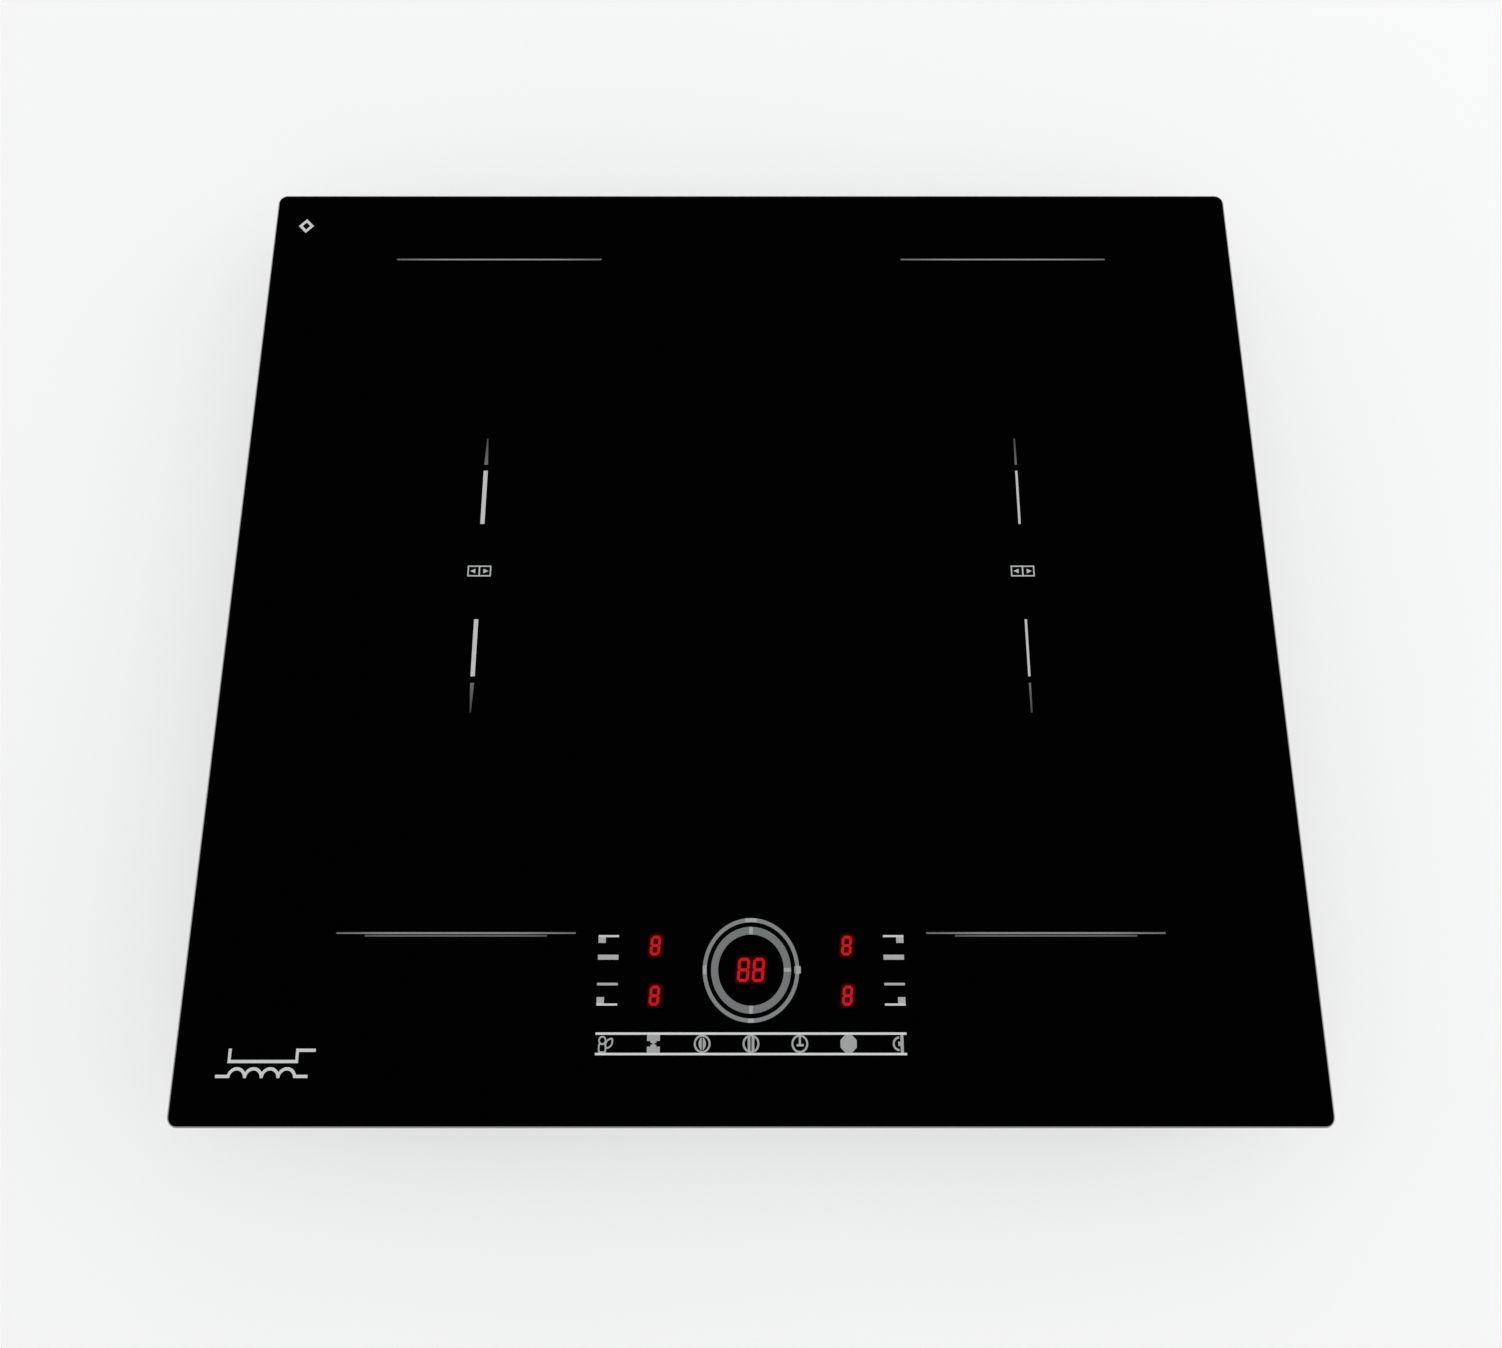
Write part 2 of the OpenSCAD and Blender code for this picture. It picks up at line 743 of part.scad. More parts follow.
module temperature_sensors() {
    flange_r = sensor_r + 3;
    color([0.85, 0.4, 0.15]) for (side = [-1, 1], end = [-1, 1]) at_coil(side, end) {
        translate([0, 0, former_z + 1]) cylinder(h = glass_z - former_z - 1, r = sensor_r);
        translate([0, 0, former_z + former_h]) cylinder(h = 1.4, r = flange_r);
    }
}

module at_posts() {
    for (x = [bay_x0 + post_inset, bay_x1 - post_inset], y = [bay_y0 + post_inset, bay_y1 - post_inset])
        translate([x, y, 0]) children();
}

spring_r = 4;
spring_wire_r = 0.5;
seat_h = 2.5;

module coil_plate(side) {
    seat_r = spring_r + spring_wire_r + 2;
    x0 = centre_gap / 2 - 1;
    y0 = zone_front + zone_margin - 1;
    y1 = zone_back - zone_margin + 1;
    color([0.8, 0.81, 0.82]) on_side(side) difference() {
        union() {
            translate([(x0 + bay_x1) / 2, (y0 + y1) / 2, plate_z]) linear_extrude(plate_t)
                rounded(bay_x1 - x0, y1 - y0, 12);
            at_posts() translate([0, 0, plate_z - seat_h]) cylinder(h = seat_h, r = seat_r);
        }
        at_posts() translate([0, 0, plate_z - seat_h - 0.1])
            cylinder(h = seat_h + 0.1, r = spring_r + spring_wire_r + 0.3);
        for (end = [-1, 1]) at_coil(1, end) translate([0, 0, plate_z - 1]) {
            at_lead_hole(1, end) cylinder(h = plate_t + 2, r = lead_hole_r);
            at_former_screws() cylinder(h = plate_t + 2, r = screw_r);
        }
    }
}

// Springs that press the coil plates up against the glass
module plate_springs() {
    coils = 4;
    steps = 11;
    rise = spring_h - 2 * spring_wire_r - 0.1;
    color([0.75, 0.76, 0.78]) both_sides() at_posts() translate([0, 0, post_top + spring_wire_r + 0.05])
        wire([for (i = [0 : coils * steps]) [spring_r * cos(360 * i / steps), spring_r * sin(360 * i / steps),
                                             rise * i / (coils * steps)]], spring_wire_r, 5);
}

// ---------- power boards ----------

module board_carrier(side) {
    wall_h = 9;
    wall = 1.5;
    color([0.16, 0.16, 0.17]) on_side(side) difference() {
        union() {
            block([bay_x0, bay_y0, floor_top], [bay_x1, bay_y1, floor_top + carrier_t]);
            for (x = [bay_x0, bay_x1 - wall])
                block([x, bay_y0, floor_top], [x + wall, bay_y1, floor_top + wall_h]);
            at_posts() {
                translate([0, 0, floor_top]) cylinder(h = post_top - floor_top, r = post_r);
                translate([0, 0, post_top - 1]) cylinder(h = spring_h - 3, r = spring_r - spring_wire_r - 0.5);
            }
            at_board_screws() translate([0, 0, floor_top]) cylinder(h = carrier_t + standoff_h, r = 4);
        }
        at_board_screws() translate([0, 0, pcb_z - 6 + pcb_t]) cylinder(h = 7, r = screw_r);
    }
}

module at_board_screws() {
    for (x = [pcb_x0 + 6, pcb_x1 - 6], y = [pcb_y0 + 6, pcb_y1 - 14]) translate([x, y, 0]) children();
}

module power_board(side) {
    color([0.1, 0.35, 0.18]) on_side(side) {
        difference() {
            block([pcb_x0, pcb_y0, pcb_z], [pcb_x1, pcb_y1, board_top]);
            at_board_screws() translate([0, 0, pcb_z - 1]) cylinder(h = pcb_t + 2, r = screw_r + 0.2);
        }
        for (i = [0 : 3]) translate([pcb_x0 + 8, sink_y0 + 8 + i * lead_step, board_top])
            cube([connector_w, connector_w, connector_h]);
        translate([pcb_x0 + 18, pcb_y0 + 40, board_top]) cube([10, 16, 3]);
    }
}

module heatsink(side) {
    fin_step = (sink_w - fin_t) / (fin_count - 1);
    color([0.78, 0.79, 0.8]) on_side(side) {
        block([sink_x0 - ledge_w, sink_y0, board_top],
              [sink_x0 + sink_w, sink_y0 + sink_l, board_top + sink_base_t]);
        for (i = [0 : fin_count - 1]) translate([sink_x0 + i * fin_step, sink_y0, board_top])
            cube([fin_t, sink_l, part_h]);
    }
}

// One power transistor lying on the ledge, with three legs bent down to the board
module transistor() {
    z = board_top + sink_base_t;
    leg = 1.2;
    reach = 4;
    translate([0, -transistor_w / 2, z]) cube([transistor_l, transistor_w, transistor_t]);
    for (y = [-5.45, 0, 5.45]) {
        translate([-reach, y - leg / 2, z + 1]) cube([reach, leg, 0.8]);
        translate([-reach, y - leg / 2, board_top]) cube([0.8, leg, z + 1 - board_top]);
    }
}

module power_transistors() {
    step = sink_l / transistor_count;
    color([0.08, 0.08, 0.08]) both_sides() for (i = [0 : transistor_count - 1])
        translate([sink_x0 - ledge_w, sink_y0 + (i + 0.5) * step, 0]) transistor();
}

module board_capacitors() {
    color([0.75, 0.72, 0.6]) {
        both_sides() {
            for (i = [0, 1]) translate([pcb_x0 + 34 + i * 46, pcb_y0 + 8, board_top]) cube([42, 26, part_h]);
            for (i = [0 : 2]) translate([pcb_x0 + 34 + i * 30, pcb_y0 + 40, board_top])
                cube([26, 12, part_h - 3]);
        }
        translate([-26, filter_y0 + 6, filter_top]) cube([28, 12, 16]);
    }
}

// A ring core with its winding, lying flat
module choke(ring_r, core_r, count) {
    translate([0, 0, core_r + 1.4]) {
        rotate_extrude() translate([ring_r, 0]) circle(core_r, $fn = 24);
        for (i = [0 : count - 1]) rotate(i * 360 / count) translate([ring_r, 0, 0]) rotate([90, 0, 0])
            rotate_extrude($fn = 24) translate([core_r + 0.7, 0]) circle(0.6, $fn = 16);
    }
}

module choke_coils() {
    color([0.7, 0.4, 0.2]) {
        both_sides() translate([pcb_x0 + 40, pcb_y0 + 84, board_top]) choke(15, 7, 14);
        translate([0, filter_y0 + 56, filter_top]) choke(15, 7, 14);
    }
}

// ---------- mains filter ----------

filter_y1 = box_y0 - 8;
filter_y0 = filter_y1 - filter_d;
filter_z = floor_top + 6;
filter_top = filter_z + pcb_t;

module at_filter_screws() {
    for (x = [-1, 1], y = [filter_y0 + 6, filter_y1 - 6]) translate([x * (filter_w / 2 - 6), y, 0]) children();
}

module filter_board() {
    color([0.12, 0.3, 0.16]) {
        difference() {
            block([-filter_w / 2, filter_y0, filter_z], [filter_w / 2, filter_y1, filter_top]);
            at_filter_screws() translate([0, 0, filter_z - 1]) cylinder(h = pcb_t + 2, r = screw_r + 0.2);
        }
        at_filter_screws() difference() {
            translate([0, 0, floor_top]) cylinder(h = filter_z - floor_top, r = 4);
            translate([0, 0, floor_top + 0.4]) cylinder(h = filter_z, r = screw_r);
        }
        translate([-12, filter_y1 - 12, filter_top]) cube([24, 8, 8]);
        translate([-12, filter_y0 + 24, filter_top]) cube([24, 6, 6]);
    }
}

// ---------- fans ----------

module at_fan() {
    translate([zone_x, fan_y, floor_top]) children();
}

// The housing's outline in plan: a drum with a duct to the front
module fan_outline(inset) {
    circle(volute_r - inset);
    translate([-volute_r + inset, -fan_size / 2 - (inset > 0 ? 1 : 0)])
        square([volute_r + inlet_r - 2 * inset, fan_size / 2 + (inset > 0 ? 1 : 0)]);
}

module fan_housing(side) {
    color([0.14, 0.14, 0.15]) on_side(side) at_fan() difference() {
        linear_extrude(fan_h) fan_outline(0);
        translate([0, 0, fan_wall]) linear_extrude(fan_h - 2 * fan_wall) fan_outline(fan_wall);
        translate([0, 0, -1]) cylinder(h = fan_wall + 2, r = inlet_r);
    }
}

module fan_motors() {
    stator_h = 9;
    stator_z = fan_h - fan_wall - stator_h - 4;
    tube_z = 7;
    color([0.55, 0.5, 0.45]) both_sides() at_fan() {
        difference() {
            union() {
                translate([0, 0, tube_z]) cylinder(h = fan_h - fan_wall - tube_z, r = bearing_r);
                translate([0, 0, fan_h - fan_wall - 1.6]) cylinder(h = 1.6, r = hub_cup_r);
                for (turn = [0, 90]) rotate(turn) translate([0, 0, stator_z + stator_h / 2])
                    cube([2 * (hub_cup_r - cup_t - 2.5), 5, stator_h], center = true);
            }
            translate([0, 0, tube_z - 1]) cylinder(h = fan_h - fan_wall - tube_z, r = shaft_r + running_gap);
        }
    }
}

module blade(h) {
    curve_r = 8;
    translate([blade_in_r + 4.6, -curve_r + 1.2, 0]) rotate(52) rotate_extrude(angle = 76)
        translate([curve_r - blade_t / 2, 0]) square([blade_t, h]);
}

module fan_rotor(side) {
    bottom = 3.5;
    disc_z = fan_h - 6;
    blade_z = fan_wall + 2;
    color([0.1, 0.1, 0.1]) on_side(side) at_fan() difference() {
        union() {
            translate([0, 0, bottom]) cylinder(h = disc_z + cup_t - bottom, r = hub_cup_r);
            translate([0, 0, disc_z]) cylinder(h = cup_t, r = blade_out_r);
            translate([0, 0, blade_z]) difference() {
                cylinder(h = cup_t, r = blade_out_r);
                translate([0, 0, -1]) cylinder(h = cup_t + 2, r = blade_out_r - 2.5);
            }
            for (i = [0 : blade_count - 1]) rotate(i * 360 / blade_count)
                translate([0, 0, blade_z + 0.5]) blade(disc_z - blade_z);
        }
        translate([0, 0, bottom + cup_t]) cylinder(h = fan_h, r = hub_cup_r - cup_t);
        translate([0, 0, bottom - 1]) cylinder(h = 4, r = shaft_r);
    }
}

module fan_shaft(side) {
    color([0.8, 0.8, 0.82]) on_side(side) at_fan()
        translate([0, 0, 3.5]) cylinder(h = fan_h - fan_wall - 3.5 - 3, r = shaft_r);
}

// ---------- mains terminals ----------

module terminal_box() {
    color([0.13, 0.13, 0.14]) difference() {
        union() {
            difference() {
                block([-box_w / 2, box_y0, floor_top], [box_w / 2, box_y1, floor_top + box_h]);
                block([box_wall - box_w / 2, box_y0 + box_wall, floor_top - 1],
                      [box_w / 2 - box_wall, box_y1 - box_wall, floor_top + box_h - box_wall]);
            }
            for (x = [-1, 1]) translate([hatch_x + x * ear_x, 0, 0]) {
                block([-ear_t / 2, hinge_y - ear_r, hinge_z],
                      [ear_t / 2, hinge_y + ear_r, floor_top + box_h - box_wall]);
                translate([-ear_t / 2, hinge_y, hinge_z]) rotate([0, 90, 0]) cylinder(h = ear_t, r = ear_r);
            }
            block([-box_w / 2, box_y0 - 6, floor_top], [-box_w / 2 + 14, box_y0, floor_top + 3]);
            block([box_w / 2 - 14, box_y0 - 6, floor_top], [box_w / 2, box_y0, floor_top + 3]);
        }
        translate([hatch_x - hatch_w, hinge_y, hinge_z]) rotate([0, 90, 0])
            cylinder(h = 2 * hatch_w, r = hinge_r + pin_gap);
        block([-12, box_y0 - 1, floor_top + 8], [12, box_y0 + box_wall + 1, floor_top + 18]);
    }
}

module at_terminals() {
    for (i = [0 : terminal_count - 1])
        translate([hatch_x + (i - (terminal_count - 1) / 2) * terminal_pitch, box_y1 - 28, 0]) children();
}

// A row of screw terminals that hangs from the box's ceiling and faces the hatch
module terminal_block() {
    half = terminal_pitch / 2 - 1;
    ceiling = floor_top + box_h - box_wall;
    color([0.9, 0.9, 0.88]) difference() {
        union() {
            translate([hatch_x, box_y1 - 28, (terminal_z + 4 + ceiling) / 2])
                cube([terminal_count * terminal_pitch, 24, ceiling - terminal_z - 4], center = true);
            at_terminals() translate([-half, -8, terminal_z]) cube([2 * half, 16, 5]);
        }
        at_terminals() for (y = [-4.5, 4.5]) translate([0, y, terminal_z - 1])
            cylinder(h = 9, r = terminal_screw_r + 0.1);
    }
}

module terminal_screws() {
    color([0.8, 0.7, 0.4]) at_terminals() for (y = [-4.5, 4.5]) difference() {
        translate([0, y, terminal_z - 0.6]) cylinder(h = 8, r = terminal_screw_r);
        translate([-3, y - 0.4, terminal_z - 1]) cube([6, 0.8, 1.6]);
    }
}

// The hatch's lid, with a hinge pin at each end of its front edge and two snap hooks at the back
module terminal_cover() {
    lap = 3;
    start = ear_r + fit_gap;
    ear_in = ear_x - ear_t / 2 - fit_gap;
    ear_out = ear_x + ear_t / 2 + fit_gap;
    tongue_end = hatch_w / 2 - 2;
    hook_w = 8;
    hook_y = hatch_y1 - 2.4;
    color([0.12, 0.12, 0.12]) translate([hatch_x, 0, 0]) {
        block([-hatch_w / 2 - lap, hinge_y + start, cover_z],
              [hatch_w / 2 + lap, hatch_y1 + lap, cover_z + cover_t]);
        block([-ear_in, hinge_y - knuckle_r, cover_z], [ear_in, hinge_y + start, cover_z + cover_t]);
        both_sides() {
            block([ear_out, hinge_y - knuckle_r, cover_z], [tongue_end, hinge_y + start, cover_z + cover_t]);
            block([ear_in - knuckle_l, hinge_y - knuckle_r, cover_z], [ear_in, hinge_y + knuckle_r, hinge_z]);
            translate([0, hinge_y, hinge_z]) rotate([0, 90, 0]) {
                translate([0, 0, ear_in - knuckle_l]) cylinder(h = knuckle_l, r = knuckle_r);
                translate([0, 0, ear_in - 1]) cylinder(h = ear_t + fit_gap + 1.5, r = hinge_r);
            }
            translate([24, hook_y, cover_z]) cube([hook_w, 1.6, floor_top + 2.2 - cover_z]);
            translate([24, hook_y, floor_top + 0.5]) cube([hook_w, 2, 1.6]);
        }
    }
}

module cable_gland() {
    lip_t = foot_h - gland_z - 0.1;
    color([0.08, 0.08, 0.08]) translate([gland_x, gland_y, gland_z]) rotate_extrude() polygon([
        [inlet_bore_r, 0], [gland_r + 2.5, 0], [gland_r + 2.5, lip_t], [gland_r - 0.1, lip_t],
        [gland_r - 0.1, lip_t + sheet_t + 0.2], [gland_r + 1.5, lip_t + sheet_t + 0.2],
        [gland_r - 1, gland_l], [inlet_bore_r, gland_l]
    ]);
}

// ---------- controls ----------

module at_legs() {
    inset = 6;
    for (x = [inset - control_w / 2, control_w / 2 - inset], y = [control_y0 + inset, control_y1 - inset])
        translate([x, y, 0]) children();
}

module control_carrier() {
    base_z = control_z - control_carrier_h;
    wall = 2;
    color([0.2, 0.2, 0.21]) {
        difference() {
            block([-control_w / 2, control_y0, base_z], [control_w / 2, control_y1, control_top]);
            block([wall - control_w / 2, control_y0 + wall, base_z + wall],
                  [control_w / 2 - wall, control_y1 - wall, control_top + 1]);
            block([ribbon_x - ribbon_w / 2 - 1, control_y1 - wall - 1, ribbon_z - 1],
                  [ribbon_x + ribbon_w / 2 + 1, control_y1 + 1, ribbon_z + ribbon_t + 1]);
        }
        at_legs() {
            translate([0, 0, floor_top]) cylinder(h = base_z - floor_top, r = leg_r);
            translate([0, 0, base_z + wall]) cylinder(h = control_carrier_h - wall, r = 3);
        }
    }
}

module control_board() {
    color([0.1, 0.1, 0.12]) block([2.5 - control_w / 2, control_y0 + 2.5, control_z],
                                  [control_w / 2 - 2.5, control_y1 - 2.5, control_top]);
}

// One display's body with its digits let into the top face
module display(w, d, digits, digit_w, digit_h) {
    difference() {
        translate([-w / 2, -d / 2, control_top]) cube([w, d, display_h]);
        for (i = [0 : digits - 1]) translate([(i - (digits - 1) / 2) * (digit_w + 1.6), 0, glass_z - 0.4])
            digit(digit_w, digit_h);
    }
}

// The seven strokes of a digit, with a slight slant
module digit(w, h) {
    stroke = 1.1;
    slant = 0.08;
    bar_l = w - 2.2 * stroke;
    post_l = h / 2 - 1.4 * stroke;
    linear_extrude(1) {
        for (y = [-1, 0, 1]) translate([y * slant * (h - stroke) / 2, y * (h - stroke) / 2])
            square([bar_l, stroke], center = true);
        for (x = [-1, 1], y = [-1, 1]) translate([x * (w - stroke) / 2 + y * slant * h / 4, y * h / 4])
            rotate(-atan(slant)) square([stroke, post_l], center = true);
    }
}

module display_modules() {
    color([0.75, 0.75, 0.75]) {
        for (x = [-digit_x, digit_x], y = digit_y) translate([x, y, 0]) display(10, 13, 1, 5.4, 9.6);
        translate([0, slider_y, 0]) display(20, 19, 2, 6.2, 11.6);
    }
}

module touch_pads() {
    color([0.3, 0.3, 0.32]) {
        for (i = [-3 : 3]) translate([i * key_pitch, keys_y, control_top]) cylinder(h = display_h, r = 4);
        for (x = [-selector_x, selector_x], y = digit_y) translate([x, y, control_top])
            cylinder(h = display_h, r = 4);
        translate([0, slider_y, control_top]) linear_extrude(display_h) band(slider_r - 5.4, slider_r - 8.4);
    }
}

// Flat cable from the filter board, forward between the coils and up to the control board
module control_ribbon() {
    drop_y = filter_y0 - 6;
    plug_z = filter_top + 1;
    y0 = control_y1 - 8;
    color([0.6, 0.6, 0.62]) translate([ribbon_x - ribbon_w / 2, 0, 0]) {
        block([0, y0, ribbon_z], [ribbon_w, drop_y, ribbon_z + ribbon_t]);
        block([0, drop_y - ribbon_t, plug_z], [ribbon_w, drop_y, ribbon_z + ribbon_t]);
        block([0, drop_y - ribbon_t, plug_z], [ribbon_w, filter_y0 + 6, plug_z + ribbon_t]);
        block([0, filter_y0 + 2, filter_top], [ribbon_w, filter_y0 + 6, plug_z]);
        block([0, y0, ribbon_z], [ribbon_w, y0 + ribbon_t, control_z]);
    }
}

// ---------- wiring ----------

// Both leads of one coil on the right side: from the start of its winding, and from its end
module coil_lead_pair(end) {
    y = zone_y + end * coil_step;
    wire_z = winding_z + wire_h / 2;
    start_x = zone_x - inner_x + wire_w / 2;
    hole = [zone_x - lead_hole_x, y + end * lead_hole_y];
    land_x = pcb_x0 + 8 + connector_w / 2;
    land_y = sink_y0 + 8 + connector_w / 2 + (end > 0 ? 2 * lead_step : 0);
    land_z = board_top + connector_h + 0.4;
    hub_path = [
        [start_x, y + end * fit_gap, wire_z], [start_x + 0.4, y + end * 4, wire_z],
        [hole.x - 1.4, hole.y - end * 0.9, wire_z - 1], [hole.x, hole.y, winding_z - 5],
        [hole.x, hole.y, plate_z], [hole.x - 4, hole.y - end * 4, plate_z - 4],
        [land_x + 14, land_y + 3, plate_z - 5.5], [land_x, land_y, land_z + 6], [land_x, land_y, land_z]
    ];
    rim_x = centre_gap / 2 + rim_t + 0.5 + wire_w / 2;
    exit_x = centre_gap / 2 - 5;
    rim_path = [
        [rim_x, y - end * fit_gap, wire_z], [rim_x - 0.3, y - end * 5, wire_z],
        [exit_x + 1, y - end * 11, wire_z - 1], [exit_x, y - end * 15, winding_z - 6],
        [exit_x, y - end * 20, plate_z - 8],
        [land_x - 6, land_y + lead_step, land_z + 5.5], [land_x, land_y + lead_step, land_z + 3],
        [land_x, land_y + lead_step, land_z]
    ];
    wire(smooth(hub_path, 3), lead_r, 6);
    wire(smooth(rim_path, 3), lead_r, 6);
}

module coil_leads() {
    color([0.75, 0.2, 0.15]) both_sides() for (end = [-1, 1]) coil_lead_pair(end);
}

// Leads from the terminals to the filter, and from the filter to both power boards
module mains_leads() {
    r = 1.3;
    seat = 0.6;
    step = 6;
    block_y = box_y1 - 28 - 12;
    pass_z = floor_top + 13;
    plug_in = filter_y1 - 8;
    plug_out = filter_y0 + 27;
    color([0.35, 0.22, 0.12]) {
        for (i = [-1, 0, 1]) wire(smooth([
            [i * step, block_y - seat, terminal_z + 8], [i * step, block_y - 5, terminal_z + 8],
            [i * step, box_y0 + 8, pass_z + 0.5], [i * step, box_y0 - 2, pass_z],
            [i * step, plug_in + 2, filter_top + 13.5], [i * step, plug_in, filter_top + 11],
            [i * step, plug_in, filter_top + 8 + seat]
        ], 3), r, 8);
        both_sides() for (i = [0, 1]) wire(smooth([
            [3 + i * step, plug_out, filter_top + 6 + seat], [3 + i * step, plug_out, filter_top + 9 + i],
            [14 + i * step, plug_out - 1, filter_top + 10], [34, plug_out - 4 - i * step, filter_top + 7],
            [bay_x0 + 2, plug_out - 14 - i * step, board_top + 7],
            [pcb_x0 + 5, plug_out - 18 - i * step, board_top + 6],
            [pcb_x0 + 5, plug_out - 18 - i * step, board_top + 3],
            [pcb_x0 + 5, plug_out - 18 - i * step, board_top + seat]
        ], 3), r, 8);
    }
}

// ---------- fasteners ----------

// A pan-head screw along Z, its head standing out from z = 0
module screw(l) {
    translate([0, 0, -l]) cylinder(h = l, r = screw_r);
    difference() {
        cylinder(h = screw_head_h, r1 = screw_head_r, r2 = screw_head_r - 0.6);
        for (turn = [0, 90]) rotate(turn)
            translate([0, 0, screw_head_h]) cube([2 * screw_head_r - 3, 0.8, 1.4], center = true);
    }
}

module case_screws() {
    color([0.7, 0.7, 0.68]) {
        at_wall_screws() screw(screw_l - 3);
        both_sides() {
            at_board_screws() translate([0, 0, board_top]) screw(5);
            for (end = [-1, 1]) at_coil(1, end) at_former_screws()
                translate([0, 0, plate_z]) mirror([0, 0, 1]) screw(plate_t + 5);
        }
        at_filter_screws() translate([0, 0, filter_top]) screw(5);
    }
}

// ---------- worktop clamps ----------

module at_clamps() {
    for (x = [-1, 1], y = [-1, 1]) translate([x * clamp_x, y * clamp_y, 0]) children();
}

// Places a clamp's piece, drawn for the rear right corner
module at_clamp(side, end) {
    translate([side * clamp_x, end * clamp_y, 0])
        mirror([side > 0 ? 0 : 1, 0, 0]) mirror([0, end > 0 ? 0 : 1, 0]) children();
}

module clamp_screws() {
    color([0.75, 0.75, 0.76]) at_clamps() difference() {
        union() {
            translate([0, 0, clamp_head_z]) cylinder(h = clamp_head_h, r = 5);
            translate([0, 0, clamp_head_z]) cylinder(h = flange_z + 0.8 - clamp_head_z, r = clamp_screw_r);
        }
        for (turn = [0, 90]) rotate(turn) translate([0, 0, clamp_head_z]) cube([7, 1.2, 2.4], center = true);
    }
}

module clamp_collar(side, end) {
    color([0.7, 0.7, 0.7]) at_clamp(side, end) translate([0, 0, collar_z]) difference() {
        cylinder(h = collar_h, r = 5.5);
        translate([0, 0, -1]) cylinder(h = collar_h + 2, r = clamp_screw_r + running_gap);
    }
}

// An arm that lies in its notch along -Y and swings out to the side
module clamp_arm(side, end) {
    color([0.66, 0.67, 0.69]) at_clamp(side, end) translate([0, 0, arm_z]) difference() {
        union() {
            cylinder(h = boss_h, r = boss_r);
            translate([-arm_w / 2, -arm_l + arm_w / 2, 0]) cube([arm_w, arm_l - arm_w / 2, arm_t]);
            translate([0, -arm_l + arm_w / 2, 0]) cylinder(h = arm_t, r = arm_w / 2);
            translate([-1, -arm_l + arm_w / 2, arm_t - 0.5]) cube([2, arm_l - arm_w / 2, 2.5]);
        }
        translate([0, 0, -1]) cylinder(h = boss_h + 2, r = clamp_screw_r + 2 * running_gap);
        translate([-arm_w / 2, -arm_l, arm_t]) cube([arm_w, 14, 5]);
    }
}

glass_plate();
zone_print();
control_print();
slider_print();
rim_seal();
support_frame();
bottom_tray();
coil_winding(-1, 1);  // coil_winding_rear_left
coil_winding(-1, -1);  // coil_winding_front_left
coil_winding(1, 1);  // coil_winding_rear_right
coil_winding(1, -1);  // coil_winding_front_right
coil_former(-1, 1);  // coil_former_rear_left
coil_former(-1, -1);  // coil_former_front_left
coil_former(1, 1);  // coil_former_rear_right
coil_former(1, -1);  // coil_former_front_right
ferrite_bars();
insulation_mats();
temperature_sensors();
coil_plate(-1);  // coil_plate_left
coil_plate(1);  // coil_plate_right
plate_springs();
board_carrier(-1);  // board_carrier_left
board_carrier(1);  // board_carrier_right
power_board(-1);  // power_board_left
power_board(1);  // power_board_right
heatsink(-1);  // heatsink_left
heatsink(1);  // heatsink_right
power_transistors();
board_capacitors();
choke_coils();
fan_housing(-1);  // fan_housing_left
fan_housing(1);  // fan_housing_right
fan_rotor(-1);  // fan_rotor_left
fan_rotor(1);  // fan_rotor_right
fan_shaft(-1);  // fan_shaft_left
fan_shaft(1);  // fan_shaft_right
fan_motors();
filter_board();
terminal_box();
terminal_block();
terminal_screws();
terminal_cover();
cable_gland();
control_carrier();
control_board();
display_modules();
touch_pads();
control_ribbon();
coil_leads();
mains_leads();
case_screws();
clamp_screws();
clamp_collar(-1, 1);  // clamp_collar_rear_left
clamp_collar(-1, -1);  // clamp_collar_front_left
clamp_collar(1, 1);  // clamp_collar_rear_right
clamp_collar(1, -1);  // clamp_collar_front_right
clamp_arm(-1, 1);  // clamp_arm_rear_left
clamp_arm(-1, -1);  // clamp_arm_front_left
clamp_arm(1, 1);  // clamp_arm_rear_right
clamp_arm(1, -1);  // clamp_arm_front_right
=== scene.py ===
# %% [markdown]
# # A black glass induction cooktop
# This lesson dresses a finished CAD model in Blender. The CAD gives every piece at its real size and
# place. The cells below add the studio, the finishes, and the few pieces whose look needs more than
# the CAD's shape: lit digits, twisted litz wire, springs, screw threads and small board components.
# The frame could be rebuilt by hand, but then it would drift from the real sizes, so it is loaded once
# and never moved.

# %% Load the frame
import json
import math
import random

import bpy
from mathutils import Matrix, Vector


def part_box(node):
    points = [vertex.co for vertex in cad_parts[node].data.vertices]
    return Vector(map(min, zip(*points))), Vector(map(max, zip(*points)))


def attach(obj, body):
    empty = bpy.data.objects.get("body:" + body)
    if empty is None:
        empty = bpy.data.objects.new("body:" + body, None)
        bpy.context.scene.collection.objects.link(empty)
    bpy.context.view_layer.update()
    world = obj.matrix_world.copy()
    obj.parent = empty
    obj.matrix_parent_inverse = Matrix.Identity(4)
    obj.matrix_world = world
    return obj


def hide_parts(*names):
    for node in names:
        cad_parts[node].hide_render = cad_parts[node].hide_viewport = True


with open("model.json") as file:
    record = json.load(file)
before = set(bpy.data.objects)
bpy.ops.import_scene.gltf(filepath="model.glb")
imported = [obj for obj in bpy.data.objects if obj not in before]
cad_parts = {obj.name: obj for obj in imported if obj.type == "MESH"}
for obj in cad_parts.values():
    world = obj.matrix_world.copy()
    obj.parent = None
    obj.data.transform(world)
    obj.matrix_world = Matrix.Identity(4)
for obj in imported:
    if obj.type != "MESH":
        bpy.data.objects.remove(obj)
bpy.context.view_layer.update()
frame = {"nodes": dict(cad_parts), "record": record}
nodes = frame["nodes"]
record = frame["record"]
scene = bpy.context.scene
MM = 0.001

